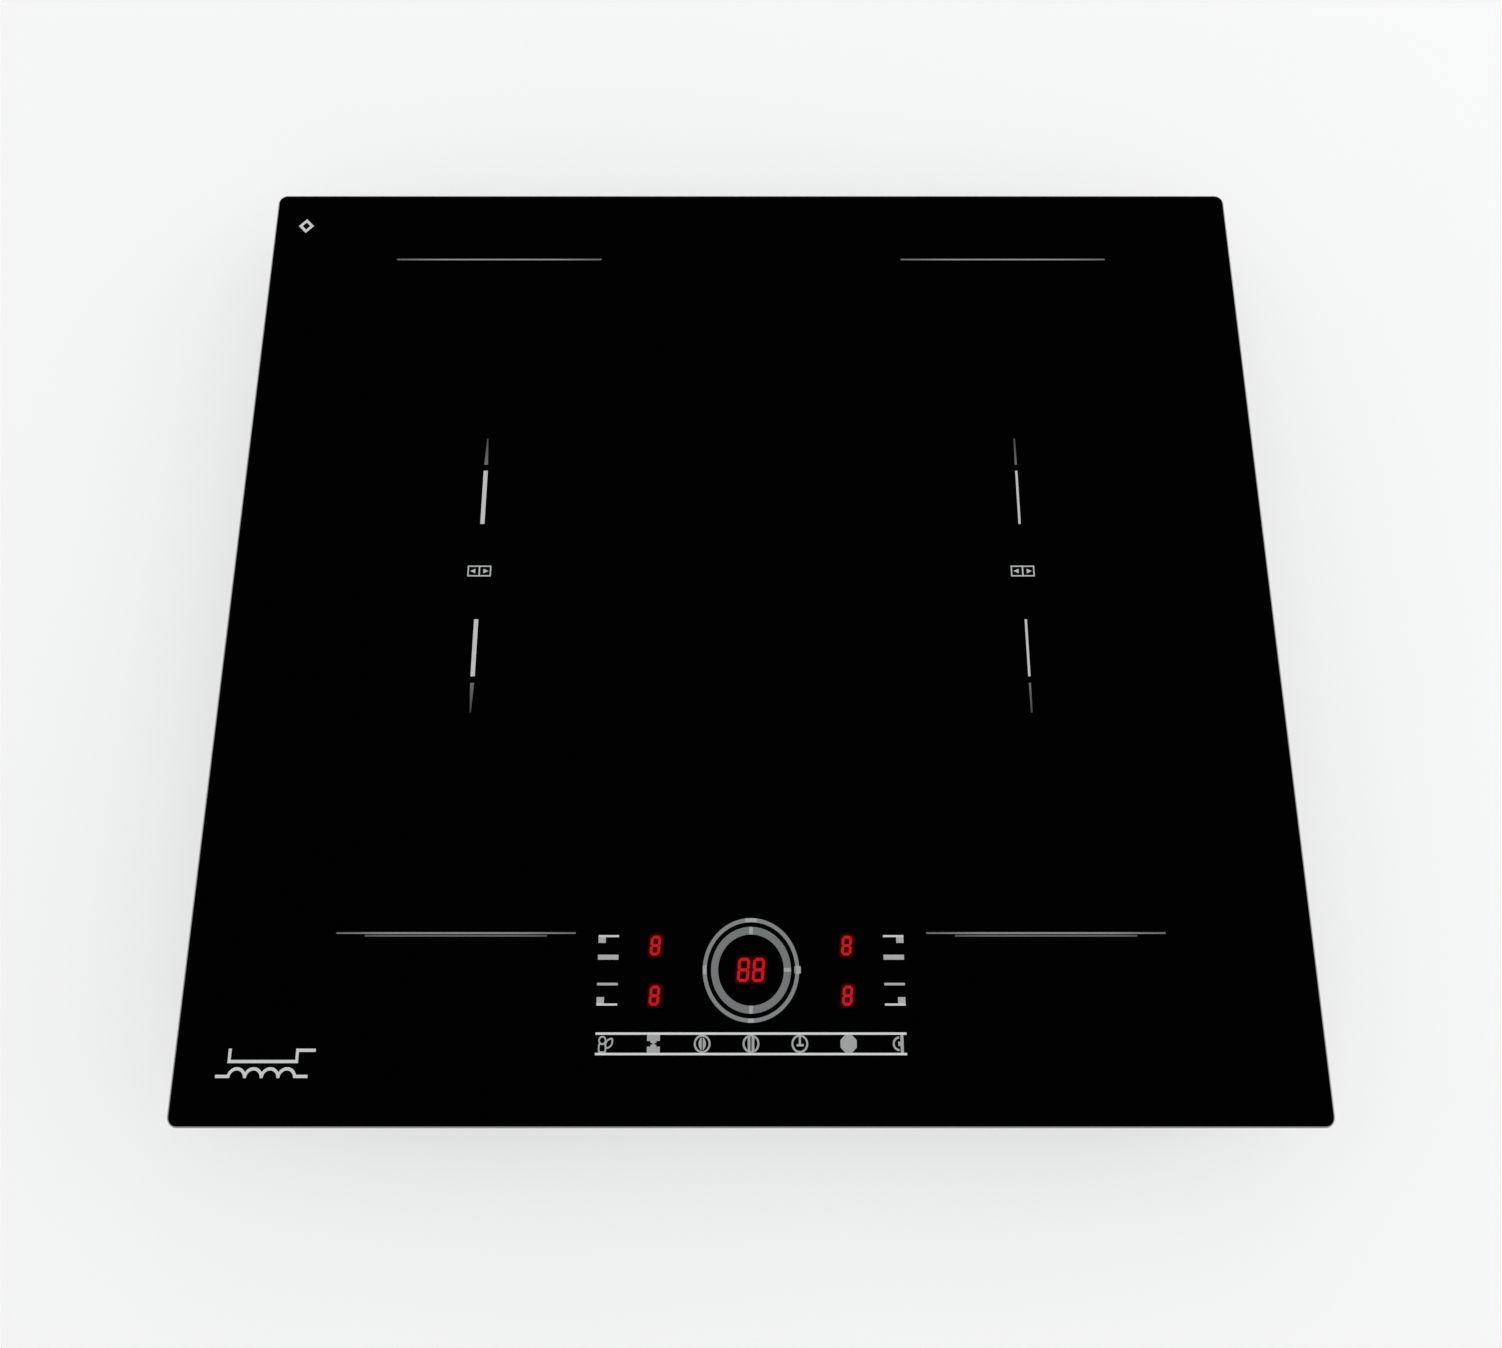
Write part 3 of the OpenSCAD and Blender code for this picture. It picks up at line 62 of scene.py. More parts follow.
# %% [markdown]
# The camera stands over the front of the cooktop and looks almost straight down, tipped a little
# forwards. A wide lens that near makes the back edge look shorter than the front one. The picture is
# framed by sliding the sensor (shift), as on a view camera, because turning the camera more would
# change the taper of the sides.

# %% Camera
glass_high = Vector(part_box("glass_plate")[1])
camera_data = bpy.data.cameras.new("studio_camera")
camera_data.lens = 28.08
camera_data.sensor_width = 36
camera_data.shift_y = -0.1533
camera = bpy.data.objects.new("studio_camera", camera_data)
camera.location = (0, -0.0906, glass_high.z + 0.6614)
camera.rotation_euler = (math.radians(15.95), 0, 0)
scene.collection.objects.link(camera)
scene.camera = camera
print("camera", round(camera.location.z / MM), "mm above the floor")

# %% [markdown]
# The floor is a wide pale sheet. A true plane is enough, because nothing on it needs relief, but a
# trace of fine mottling keeps it from looking like empty paper.

# %% Floor
def flat_sheet(name, half, z):
    """A square sheet in the floor's plane."""
    mesh = bpy.data.meshes.new(name)
    corners = [(-half, -half, z), (half, -half, z), (half, half, z), (-half, half, z)]
    mesh.from_pydata(corners, [], [(0, 1, 2, 3)])
    sheet = bpy.data.objects.new(name, mesh)
    scene.collection.objects.link(sheet)
    return sheet


floor = flat_sheet("studio_floor", half=14, z=0)
print("floor", round(floor.dimensions.x), "m wide")

# %% [markdown]
# Black glass is a mirror that only shows what is above it. From overhead it has to stay black, so the
# studio's sky is dark round the zenith and bright towards the horizon. A low camera then still sees a
# bright band glide over the glass. A gradient by height does this with no picture of a sky.

# %% Studio sky
scene.view_settings.view_transform = "Standard"
world = bpy.data.worlds.new("studio_sky")
world.use_nodes = True
scene.world = world
sky = world.node_tree
sky_shader = sky.nodes["Background"]
sky_place = sky.nodes.new("ShaderNodeTexCoord")
sky_height = sky.nodes.new("ShaderNodeSeparateXYZ")
sky_ramp = sky.nodes.new("ShaderNodeValToRGB")
sky_strength = 0.94
dark_from = 0.79
bright_below = 0.62
sky_ramp.color_ramp.interpolation = "EASE"
sky_ramp.color_ramp.elements[0].position = bright_below
sky_ramp.color_ramp.elements[0].color = (0.985, 0.99, 1.0, 1)
sky_ramp.color_ramp.elements[1].position = dark_from
sky_ramp.color_ramp.elements[1].color = (0, 0, 0, 1)
sky.links.new(sky_place.outputs["Generated"], sky_height.inputs[0])
sky.links.new(sky_height.outputs["Z"], sky_ramp.inputs["Fac"])
sky.links.new(sky_ramp.outputs["Color"], sky_shader.inputs["Color"])
sky_shader.inputs["Strength"].default_value = sky_strength
print("sky is dark from", round(math.degrees(math.asin(dark_from))), "degrees up")

# %% [markdown]
# Most of the light comes from one very large soft box overhead, which leaves hardly any shade. Its own
# mirror image would lie right across the black glass, so it is hidden from reflections, as a
# polarising sheet hides it in a real studio. Two low soft boxes at the sides and one behind shape
# the edges and leave a little soft shade beside the case.

# %% Soft boxes
def soft_box(name, place, aim, size, power, mirrored=True):
    """A rectangular studio light that looks from place to aim."""
    light = bpy.data.lights.new(name, "AREA")
    light.shape = "RECTANGLE"
    light.size, light.size_y = size
    light.energy = power
    lamp = bpy.data.objects.new(name, light)
    lamp.location = place
    lamp.rotation_euler = (Vector(aim) - Vector(place)).to_track_quat("-Z", "Y").to_euler()
    lamp.visible_camera = False
    lamp.visible_glossy = mirrored
    scene.collection.objects.link(lamp)
    return lamp


soft_box("soft_box_overhead", (0.2, 0.1, 3.0), (0, 0, 0), (5.0, 5.0), 66, mirrored=False)
soft_box("soft_box_right", (2.6, 0.5, 1.5), (0, 0, 0), (2.4, 1.2), 12)
soft_box("soft_box_left", (-2.6, 0.9, 1.3), (0, 0, 0), (2.4, 1.0), 4)
soft_box("soft_box_rear", (0.3, 3.0, 1.4), (0, 0, 0), (3.2, 1.0), 8)

# %% [markdown]
# Every finish below is a small node tree. A few helpers keep them short: one places a node and fills its
# sockets with values or with links, and the others place the nodes that are used most. Writing the trees
# by hand would need four lines where each of these needs one.

# %% Node helpers
def place(tree, kind, sockets=None, **settings):
    """Adds a node. A socket's entry is a number or colour, or another node's output to link."""
    node = tree.nodes.new(kind)
    for name, value in settings.items():
        setattr(node, name, value)
    for key, value in (sockets or {}).items():
        if isinstance(value, bpy.types.NodeSocket):
            tree.links.new(value, node.inputs[key])
        else:
            node.inputs[key].default_value = value
    return node


def mixed(tree, factor, first, second, mode="MIX"):
    """The colour between first and second."""
    node = place(tree, "ShaderNodeMix", {0: factor, 6: first, 7: second}, data_type="RGBA", blend_type=mode)
    return node.outputs[2]


def maths(tree, operation, first, second=0.0):
    """One arithmetic step."""
    return place(tree, "ShaderNodeMath", {0: first, 1: second}, operation=operation).outputs[0]


def ranged(tree, value, low, high, out_low, out_high, soft=False):
    """Maps a value from one range to another and holds it there."""
    sockets = {"Value": value, "From Min": low, "From Max": high, "To Min": out_low, "To Max": out_high}
    kind = "SMOOTHSTEP" if soft else "LINEAR"
    return place(tree, "ShaderNodeMapRange", sockets, interpolation_type=kind).outputs["Result"]


def ramp(tree, value, stops):
    """A brightness ramp: stops are (position, grey level)."""
    node = place(tree, "ShaderNodeValToRGB", {"Fac": value})
    elements = node.color_ramp.elements
    while len(elements) < len(stops):
        elements.new(1.0)
    for element, (position, level) in zip(elements, stops):
        element.position = position
        element.color = (level, level, level, 1)
    return node.outputs["Color"]


def split(tree, vector):
    """The three parts of a vector."""
    return place(tree, "ShaderNodeSeparateXYZ", {0: vector}).outputs


print("node helpers ready")

# %% [markdown]
# A shader node group is a small machine with labelled sockets. One group serves many materials, each
# with its own numbers. This helper makes an empty group and its sockets.

# %% Group helper
SOCKETS = {"value": "NodeSocketFloat", "vector": "NodeSocketVector", "colour": "NodeSocketColor"}


def new_group(name, inputs, outputs):
    """An empty node group. Returns it with its input and output nodes."""
    group = bpy.data.node_groups.new(name, "ShaderNodeTree")
    for label, kind, start in inputs:
        socket = group.interface.new_socket(name=label, in_out="INPUT", socket_type=SOCKETS[kind])
        if start is not None:
            socket.default_value = start
    for label, kind in outputs:
        group.interface.new_socket(name=label, in_out="OUTPUT", socket_type=SOCKETS[kind])
    return group, group.nodes.new("NodeGroupInput"), group.nodes.new("NodeGroupOutput")


def use(tree, group, sockets):
    """Places a group in a material, or in another group."""
    return place(tree, "ShaderNodeGroup", sockets, node_tree=group)


print("group helper ready")

# %% [markdown]
# Moulded plastic, rubber and ceramic all carry the fine grain of their mould or powder. The group puts
# out the grain's height, a slow change of shade across the piece, and a slow change of gloss. Two noise
# textures at different scales do it, with no image.

# %% Group: fine grain
fine_grain, grain_in, grain_out = new_group(
    "Fine grain",
    [("Vector", "vector", None), ("Scale", "value", 900.0), ("Slow Scale", "value", 18.0)],
    [("Height", "value"), ("Shade", "value"), ("Gloss", "value")],
)
grain_noise = place(fine_grain, "ShaderNodeTexNoise", {
    "Vector": grain_in.outputs["Vector"], "Scale": grain_in.outputs["Scale"], "Detail": 3.0})
slow_noise = place(fine_grain, "ShaderNodeTexNoise", {
    "Vector": grain_in.outputs["Vector"], "Scale": grain_in.outputs["Slow Scale"], "Detail": 4.0,
    "Roughness": 0.6})
slow_split = place(fine_grain, "ShaderNodeSeparateColor", {"Color": slow_noise.outputs["Color"]})
fine_grain.links.new(grain_noise.outputs["Fac"], grain_out.inputs["Height"])
fine_grain.links.new(slow_split.outputs["Red"], grain_out.inputs["Shade"])
fine_grain.links.new(slow_split.outputs["Green"], grain_out.inputs["Gloss"])
print(fine_grain.name, "has", len(fine_grain.nodes), "nodes")

# %% [markdown]
# Hot-dipped zinc freezes in flat crystals, each tilted its own way, so a sheet shows a patchwork of
# lighter and darker grey. A Voronoi texture makes such cells: its colour gives each crystal a shade of
# its own and its distance gives a faint ridge.

# %% Group: zinc spangle
zinc_spangle, zinc_in, zinc_out = new_group(
    "Zinc spangle",
    [("Vector", "vector", None), ("Scale", "value", 110.0)],
    [("Shade", "value"), ("Gloss", "value"), ("Height", "value")],
)
zinc_warp = place(zinc_spangle, "ShaderNodeTexNoise", {
    "Vector": zinc_in.outputs["Vector"], "Scale": 160.0, "Detail": 2.0})
zinc_pushed = place(zinc_spangle, "ShaderNodeVectorMath", {
    0: zinc_warp.outputs["Color"], 1: (0.004, 0.004, 0.004)}, operation="MULTIPLY")
zinc_place = place(zinc_spangle, "ShaderNodeVectorMath", {
    0: zinc_in.outputs["Vector"], 1: zinc_pushed.outputs[0]}, operation="ADD")
zinc_cells = place(zinc_spangle, "ShaderNodeTexVoronoi", {
    "Vector": zinc_place.outputs[0], "Scale": zinc_in.outputs["Scale"]})
zinc_split = place(zinc_spangle, "ShaderNodeSeparateColor", {"Color": zinc_cells.outputs["Color"]})
zinc_spangle.links.new(zinc_split.outputs["Red"], zinc_out.inputs["Shade"])
zinc_spangle.links.new(zinc_split.outputs["Green"], zinc_out.inputs["Gloss"])
zinc_spangle.links.new(zinc_cells.outputs["Distance"], zinc_out.inputs["Height"])
print(zinc_spangle.name, "has", len(zinc_spangle.nodes), "nodes")

# %% [markdown]
# Rolling, drawing and extruding all leave fine lines along the metal. Noise that is stretched far along
# one axis looks like them. The stretch is an input, so one group serves sheet, fins and wire.

# %% Group: drawn lines
drawn_lines, lines_in, lines_out = new_group(
    "Drawn lines",
    [("Vector", "vector", None), ("Stretch", "vector", (20.0, 900.0, 900.0))],
    [("Height", "value"), ("Shade", "value")],
)
lines_place = place(drawn_lines, "ShaderNodeVectorMath", {
    0: lines_in.outputs["Vector"], 1: lines_in.outputs["Stretch"]}, operation="MULTIPLY")
fine_lines = place(drawn_lines, "ShaderNodeTexNoise", {
    "Vector": lines_place.outputs[0], "Scale": 1.0, "Detail": 4.0, "Roughness": 0.7})
broad_lines = place(drawn_lines, "ShaderNodeTexNoise", {
    "Vector": lines_place.outputs[0], "Scale": 0.12, "Detail": 2.0})
drawn_lines.links.new(fine_lines.outputs["Fac"], lines_out.inputs["Height"])
drawn_lines.links.new(broad_lines.outputs["Fac"], lines_out.inputs["Shade"])
print(drawn_lines.name, "has", len(drawn_lines.nodes), "nodes")

# %% [markdown]
# Corners that are handled or stamped turn a little brighter, and the same brightening stands in for the
# highlight that a rounded edge catches, so the mark is partly wear and partly painted highlight. The
# Bevel node looks round each corner within a given width. Where its softened normal leaves the true one,
# there is an edge, and a noise breaks the mark up.

# %% Group: edge wear and painted highlight
edge_wear_and_highlight, edge_mark_in, edge_mark_out = new_group(
    "Edge wear and highlight",
    [("Vector", "vector", None), ("Width", "value", 0.0006)],
    [("Wear and Highlight", "value")],
)
edge_mark_bevel = place(edge_wear_and_highlight, "ShaderNodeBevel", {"Radius": edge_mark_in.outputs["Width"]}, samples=4)
edge_mark_face = place(edge_wear_and_highlight, "ShaderNodeNewGeometry")
edge_mark_turn = place(edge_wear_and_highlight, "ShaderNodeVectorMath", {
    0: edge_mark_bevel.outputs["Normal"], 1: edge_mark_face.outputs["Normal"]}, operation="DOT_PRODUCT")
edge_mark_line = ranged(edge_wear_and_highlight, edge_mark_turn.outputs["Value"], 0.99, 0.8, 0.0, 1.0)
edge_mark_noise = place(edge_wear_and_highlight, "ShaderNodeTexNoise", {
    "Vector": edge_mark_in.outputs["Vector"], "Scale": 260.0, "Detail": 3.0})
edge_mark_broken = ranged(edge_wear_and_highlight, edge_mark_noise.outputs["Fac"], 0.38, 0.62, 0.1, 1.0)
# The mask is partly wear and partly a painted highlight along every edge.
edge_wear_and_highlight.links.new(maths(edge_wear_and_highlight, "MULTIPLY", edge_mark_line, edge_mark_broken), edge_mark_out.inputs["Wear and Highlight"])
print(edge_wear_and_highlight.name, "has", len(edge_wear_and_highlight.nodes), "nodes")

# %% [markdown]
# Many marks on the glass are set by where they are: a glow under each display, a bright tick on the
# ring. The group measures how far a point lies outside a flat box, and fades from one to nothing over
# an edge of any softness.

# %% Group: soft patch
soft_patch, patch_in, patch_out = new_group(
    "Soft patch",
    [("Vector", "vector", None), ("Centre", "vector", (0, 0, 0)), ("Half Size", "vector", (0.01, 0.01, 0)),
     ("Edge", "value", 0.001)],
    [("Mask", "value")],
)
patch_away = place(soft_patch, "ShaderNodeVectorMath", {
    0: patch_in.outputs["Vector"], 1: patch_in.outputs["Centre"]}, operation="SUBTRACT")
patch_flat = place(soft_patch, "ShaderNodeVectorMath", {0: patch_away.outputs[0], 1: (1, 1, 0)},
                   operation="MULTIPLY")
patch_size = place(soft_patch, "ShaderNodeVectorMath", {0: patch_flat.outputs[0]}, operation="ABSOLUTE")
patch_out_by = place(soft_patch, "ShaderNodeVectorMath", {
    0: patch_size.outputs[0], 1: patch_in.outputs["Half Size"]}, operation="SUBTRACT")
patch_beyond = place(soft_patch, "ShaderNodeVectorMath", {0: patch_out_by.outputs[0], 1: (0, 0, 0)},
                     operation="MAXIMUM")
patch_gap = place(soft_patch, "ShaderNodeVectorMath", {0: patch_beyond.outputs[0]}, operation="LENGTH")
patch_mask = ranged(soft_patch, patch_gap.outputs["Value"], 0.0, patch_in.outputs["Edge"], 1.0, 0.0,
                    soft=True)
soft_patch.links.new(patch_mask, patch_out.inputs["Mask"])
print(soft_patch.name, "has", len(soft_patch.nodes), "nodes")

# %% [markdown]
# Every lit figure is an eight of seven strokes, the same to the left and right and above and below. So
# its glow needs only three soft patches: with the signs of x and y dropped, one upright stroke stands
# for four, one outer bar for two, and the third is the middle bar.

# %% Group: figure glow
digit_slant = 0.09
figure_glow, figure_in, figure_out = new_group(
    "Figure glow",
    [("Vector", "vector", None), ("Centre", "vector", (0, 0, 0)), ("Half Size", "vector", (0.003, 0.005, 0)),
     ("Slant", "value", digit_slant), ("Spread", "value", 0.002)],
    [("Mask", "value")],
)
figure_away = place(figure_glow, "ShaderNodeVectorMath", {
    0: figure_in.outputs["Vector"], 1: figure_in.outputs["Centre"]}, operation="SUBTRACT")
figure_x, figure_y = split(figure_glow, figure_away.outputs[0])[:2]
figure_lean = maths(figure_glow, "MULTIPLY", figure_y, figure_in.outputs["Slant"])
figure_upright = maths(figure_glow, "ABSOLUTE", maths(figure_glow, "SUBTRACT", figure_x, figure_lean))
figure_folded = place(figure_glow, "ShaderNodeCombineXYZ", {
    0: figure_upright, 1: maths(figure_glow, "ABSOLUTE", figure_y)}).outputs[0]
half_w, half_h = split(figure_glow, figure_in.outputs["Half Size"])[:2]
upright_place = place(figure_glow, "ShaderNodeCombineXYZ", {
    0: half_w, 1: maths(figure_glow, "MULTIPLY", half_h, 0.5)}).outputs[0]
upright_size = place(figure_glow, "ShaderNodeCombineXYZ", {
    0: 0.0001, 1: maths(figure_glow, "MULTIPLY", half_h, 0.5)}).outputs[0]
bar_place = place(figure_glow, "ShaderNodeCombineXYZ", {1: half_h}).outputs[0]
bar_size = place(figure_glow, "ShaderNodeCombineXYZ", {0: half_w, 1: 0.0001}).outputs[0]
figure_mask = None
for centre, size in ((upright_place, upright_size), (bar_place, bar_size), ((0, 0, 0), bar_size)):
    stroke = use(figure_glow, soft_patch, {"Vector": figure_folded, "Centre": centre, "Half Size": size,
                                           "Edge": figure_in.outputs["Spread"]}).outputs["Mask"]
    figure_mask = stroke if figure_mask is None else maths(figure_glow, "MAXIMUM", figure_mask, stroke)
figure_glow.links.new(figure_mask, figure_out.inputs["Mask"])
print(figure_glow.name, "has", len(figure_glow.nodes), "nodes")

# %% [markdown]
# Sleeves and mats are made of fibres. Two sets of fine waves that cross give a braid's small diamonds,
# and a noise over them gives loose fibres.

# %% Group: fibres
fibres, fibres_in, fibres_out = new_group(
    "Fibres",
    [("Vector", "vector", None), ("Scale", "value", 500.0), ("Loose", "value", 0.4)],
    [("Height", "value"), ("Shade", "value")],
)
fibre_waves = []
for direction in ("X", "Y"):
    turned = place(fibres, "ShaderNodeMapping", {"Vector": fibres_in.outputs["Vector"],
                                                 "Rotation": (0.5, 0.6, math.pi / 4)})
    fibre_waves.append(place(fibres, "ShaderNodeTexWave", {
        "Vector": turned.outputs[0], "Scale": fibres_in.outputs["Scale"], "Distortion": 1.5},
        bands_direction=direction).outputs["Fac"])
fibre_noise = place(fibres, "ShaderNodeTexNoise", {
    "Vector": fibres_in.outputs["Vector"], "Scale": 900.0, "Detail": 4.0})
fibre_cross = maths(fibres, "MAXIMUM", fibre_waves[0], fibre_waves[1])
fibre_mix = place(fibres, "ShaderNodeMix", {0: fibres_in.outputs["Loose"], 2: fibre_cross,
                                            3: fibre_noise.outputs["Fac"]}, data_type="FLOAT")
fibres.links.new(fibre_mix.outputs[0], fibres_out.inputs["Height"])
fibres.links.new(fibre_noise.outputs["Fac"], fibres_out.inputs["Shade"])
print(fibres.name, "has", len(fibres.nodes), "nodes")

# %% [markdown]
# Each material starts the same way: a Principled shader with its steady numbers typed straight into its
# sockets, and coordinates taken from the object itself, so that the pattern moves with a moving piece.
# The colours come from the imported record, and so does the list of which node wears which.

# %% Starting a finish
colours = {entry["slot"]: tuple(entry["base_color"][:3]) for entry in record["materials"]}
finishes = {}


def start_finish(name, **steady):
    """A new material. Returns it with its tree, shader and object coordinates."""
    material = bpy.data.materials.new(name)
    material.use_nodes = True
    tree = material.node_tree
    shader = tree.nodes["Principled BSDF"]
    for label, value in steady.items():
        shader.inputs[label.replace("_", " ")].default_value = value
    spot = place(tree, "ShaderNodeTexCoord").outputs["Object"]
    return material, tree, shader, spot


def bumped(tree, shader, height, depth):
    """Feeds a height to the shader's normal. depth is the relief in metres."""
    bump = place(tree, "ShaderNodeBump", {"Height": height, "Distance": depth, "Strength": 1.0})
    tree.links.new(bump.outputs["Normal"], shader.inputs["Normal"])


def shaded(colour, factor):
    """A colour made lighter or darker."""
    return tuple(min(1.0, channel * factor) for channel in colour) + (1,)


print("colours for", len(colours), "slots")

# %% [markdown]
# The floor is a light table, which studios use for glass: a milky sheet lit from below, so that it
# gives half of its brightness itself. The shade that an object leaves on it stays pale. Its own finish
# has only the slightest mottle.

# %% Floor finish
light_table, tree, shader, spot = start_finish("light_table", Roughness=0.9, Specular_IOR_Level=0.1,
                                               Emission_Strength=1.0)
table_grain = use(tree, fine_grain, {"Vector": spot, "Scale": 60.0, "Slow Scale": 1.5})
table_colour = mixed(tree, table_grain.outputs["Shade"], (0.50, 0.50, 0.505, 1), (0.52, 0.52, 0.52, 1))
table_glow = mixed(tree, table_grain.outputs["Shade"], (0.43, 0.43, 0.43, 1), (0.445, 0.445, 0.445, 1))
tree.links.new(table_colour, shader.inputs["Base Color"])
tree.links.new(table_glow, shader.inputs["Emission Color"])
floor.data.materials.append(light_table)
print(light_table.name, "on", floor.name)

# %% [markdown]
# ## The glass
# Black glass-ceramic: polished on top, ground to a satin grey along its bevelled edge, and matt
# underneath. Which part a point belongs to can be read from its normal: up, sideways or down. The
# displays shine through from below, so a faint red glow lies in the glass over each one.

# %% Where the displays are
display_high = Vector(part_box("display_modules")[1])
ring_low, ring_high = (Vector(corner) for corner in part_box("slider_print"))
ring_r = (ring_high.y - ring_low.y) / 2
ring_y = (ring_low.y + ring_high.y) / 2
side_module_w = 10 * MM
side_digit = (5.4 * MM, 9.6 * MM)
main_digit = (6.2 * MM, 11.6 * MM)
digit_gap = 1.6 * MM
stroke_w = 1.45 * MM
side_x = display_high.x - side_module_w / 2
side_y = [ring_y + 11.7 * MM, ring_y - 12.3 * MM]
digit_places = [((x, y), side_digit) for x in (-side_x, side_x) for y in side_y]
pair_step = (main_digit[0] + digit_gap) / 2
digit_places += [((x, ring_y), main_digit) for x in (-pair_step, pair_step)]
print("digits at", [tuple(round(v / MM, 1) for v in spot_xy) for spot_xy, size in digit_places])

# %% [markdown]
# The glass could be three materials on three sets of faces, but one shader that reads the normal keeps
# the node in one piece, and the bevel's satin fades into the polish as it does on ground glass.

# %% Glass finish
glow_red = (0.07, 0.0004, 0.0014, 1)
glass, tree, shader, spot = start_finish("black_glass", IOR=1.5, Emission_Strength=1.0)
facing = place(tree, "ShaderNodeNewGeometry").outputs["Normal"]
facing_z = split(tree, facing)["Z"]
polished = ranged(tree, facing_z, 0.93, 0.99, 0.0, 1.0)
below = ranged(tree, facing_z, -0.5, -0.9, 0.0, 1.0)
glass_grain = use(tree, fine_grain, {"Vector": spot, "Scale": 1500.0, "Slow Scale": 7.0})
ground = mixed(tree, glass_grain.outputs["Height"], (0.17, 0.175, 0.18, 1), (0.30, 0.31, 0.31, 1))
face_colour = mixed(tree, polished, ground, (0.0006, 0.0006, 0.0007, 1))
tree.links.new(mixed(tree, below, face_colour, (0.012, 0.012, 0.013, 1)), shader.inputs["Base Color"])
top_gloss = ranged(tree, glass_grain.outputs["Gloss"], 0.3, 0.7, 0.035, 0.06)
edge_gloss = mixed(tree, polished, (0.38, 0.38, 0.38, 1), top_gloss)
tree.links.new(mixed(tree, below, edge_gloss, (0.6, 0.6, 0.6, 1)), shader.inputs["Roughness"])
glow = None
for (x, y), (w, h) in digit_places:
    halo = use(tree, figure_glow, {"Vector": spot, "Centre": (x, y, 0), "Spread": 2.2 * MM,
                                   "Half Size": ((w - stroke_w) / 2, (h - stroke_w) / 2, 0)}).outputs["Mask"]
    glow = halo if glow is None else maths(tree, "MAXIMUM", glow, halo)
glow = maths(tree, "MULTIPLY", glow, polished)
tree.links.new(mixed(tree, glow, (0, 0, 0, 1), glow_red), shader.inputs["Emission Color"])
finishes["black_glass"] = glass
print(glass.name, "glows over", len(digit_places), "digits")

# %% [markdown]
# ## The printed marks
# The ink is a pale ceramic fired onto the glass, so it is matt with a slight tooth. The printer laid it
# on thinner in places: the tips of the zone strokes are faint, and the lines fade at their ends. The
# brightness is read from the distance to the zone's middle, because every mark of a zone repeats on
# both sides of it.

# %% Ink finish
def ink_finish(name, levels):
    """Fired ink. levels(tree, spot) gives its brightness over the surface."""
    material, tree, shader, spot = start_finish(name, Roughness=0.6, Specular_IOR_Level=0.3)
    grain = use(tree, fine_grain, {"Vector": spot, "Scale": 2600.0, "Slow Scale": 60.0})
    mottle = ranged(tree, grain.outputs["Height"], 0.3, 0.7, 0.9, 1.08)
    level = mixed(tree, 1.0, levels(tree, spot), mottle, "MULTIPLY")
    tint = mixed(tree, 1.0, level, (0.985, 1.0, 1.0, 1), "MULTIPLY")
    tree.links.new(tint, shader.inputs["Base Color"])
    bumped(tree, shader, grain.outputs["Height"], 0.01 * MM)
    return material


print("ink helper ready")

# %% [markdown]
# The two zones are printed in one go, and their marks mirror each other. A ramp over the distance from
# the zone's middle gives each mark its brightness, which saves a separate material for every stroke.

# %% Zone ink
zone_low, zone_high = (Vector(corner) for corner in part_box("zone_print"))
zone_middle = (zone_low.y + zone_high.y) / 2
zone_half = (zone_high.y - zone_low.y) / 2
coil_low, coil_high = (Vector(corner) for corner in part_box("coil_former_rear_right"))
zone_x = (coil_low.x + coil_high.x) / 2


def zone_levels(tree, spot):
    """Bright strokes, faint tips, and lines that fade at their ends."""
    x, y = split(tree, spot)[:2]
    off_y = maths(tree, "ABSOLUTE", maths(tree, "SUBTRACT", y, zone_middle))
    share = maths(tree, "DIVIDE", off_y, zone_half)
    strokes = ramp(tree, share, [
        (0.0, 0.48), (0.10, 0.48), (0.12, 0.53), (60 * MM / zone_half, 0.53), (62 * MM / zone_half, 0.14),
        (79 * MM / zone_half, 0.05), (0.9, 0.27)])
    off_x = maths(tree, "ABSOLUTE", maths(tree, "SUBTRACT", maths(tree, "ABSOLUTE", x), zone_x))
    fade = ranged(tree, off_x, 30 * MM, 64 * MM, 1.0, 0.55, soft=True)
    front_band = ranged(tree, y, zone_low.y + 0.9 * MM, zone_low.y + 1.0 * MM, 0.4, 1.0)
    fade = maths(tree, "MULTIPLY", fade, front_band)
    dimmer = place(tree, "ShaderNodeCombineColor", {0: fade, 1: fade, 2: fade}).outputs[0]
    return mixed(tree, 1.0, strokes, dimmer, "MULTIPLY")


zone_ink = ink_finish("zone_ink", zone_levels)
print("zone middle at", round(zone_middle / MM, 1), "mm, half length", round(zone_half / MM, 1), "mm")

# %% [markdown]
# The key strip has three brightnesses: its two rule lines are the brightest, the signs between them are
# softer, and the marks for the zones beside the digits lie in between.

# %% Control ink
keys_y = ring_y - 34.9 * MM
key_step = 25 * MM
strip_half = 3 * key_step + 4.8 * MM


def control_levels(tree, spot):
    """Bright rule lines, softer signs between them."""
    strip, signs = (use(tree, soft_patch, {
        "Vector": spot, "Centre": (0, keys_y, 0), "Half Size": (strip_half + 1 * MM, half_h, 0),
        "Edge": 0.1 * MM}).outputs["Mask"] for half_h in (5.6 * MM, 4.15 * MM))
    away = maths(tree, "ABSOLUTE", maths(tree, "SUBTRACT", split(tree, spot)[1], ring_y))
    key_lines = ramp(tree, maths(tree, "DIVIDE", away, 17 * MM), [
        (0.0, 0.40), (0.93, 0.40), (0.935, 0.6), (1.0, 0.6)])
    marks = mixed(tree, strip, key_lines, (0.66, 0.66, 0.66, 1))
    return mixed(tree, signs, marks, (0.36, 0.36, 0.36, 1))


control_ink = ink_finish("control_ink", control_levels)
print("key strip at", round(keys_y / MM, 1), "mm")

# %% [markdown]
# The slider's two rings are a mid grey with brighter ticks at their quarter points. A soft patch of no
# size is a cone round the slider's middle, so one level of it tells the inner ring from the outer, and
# small patches mark the ticks.

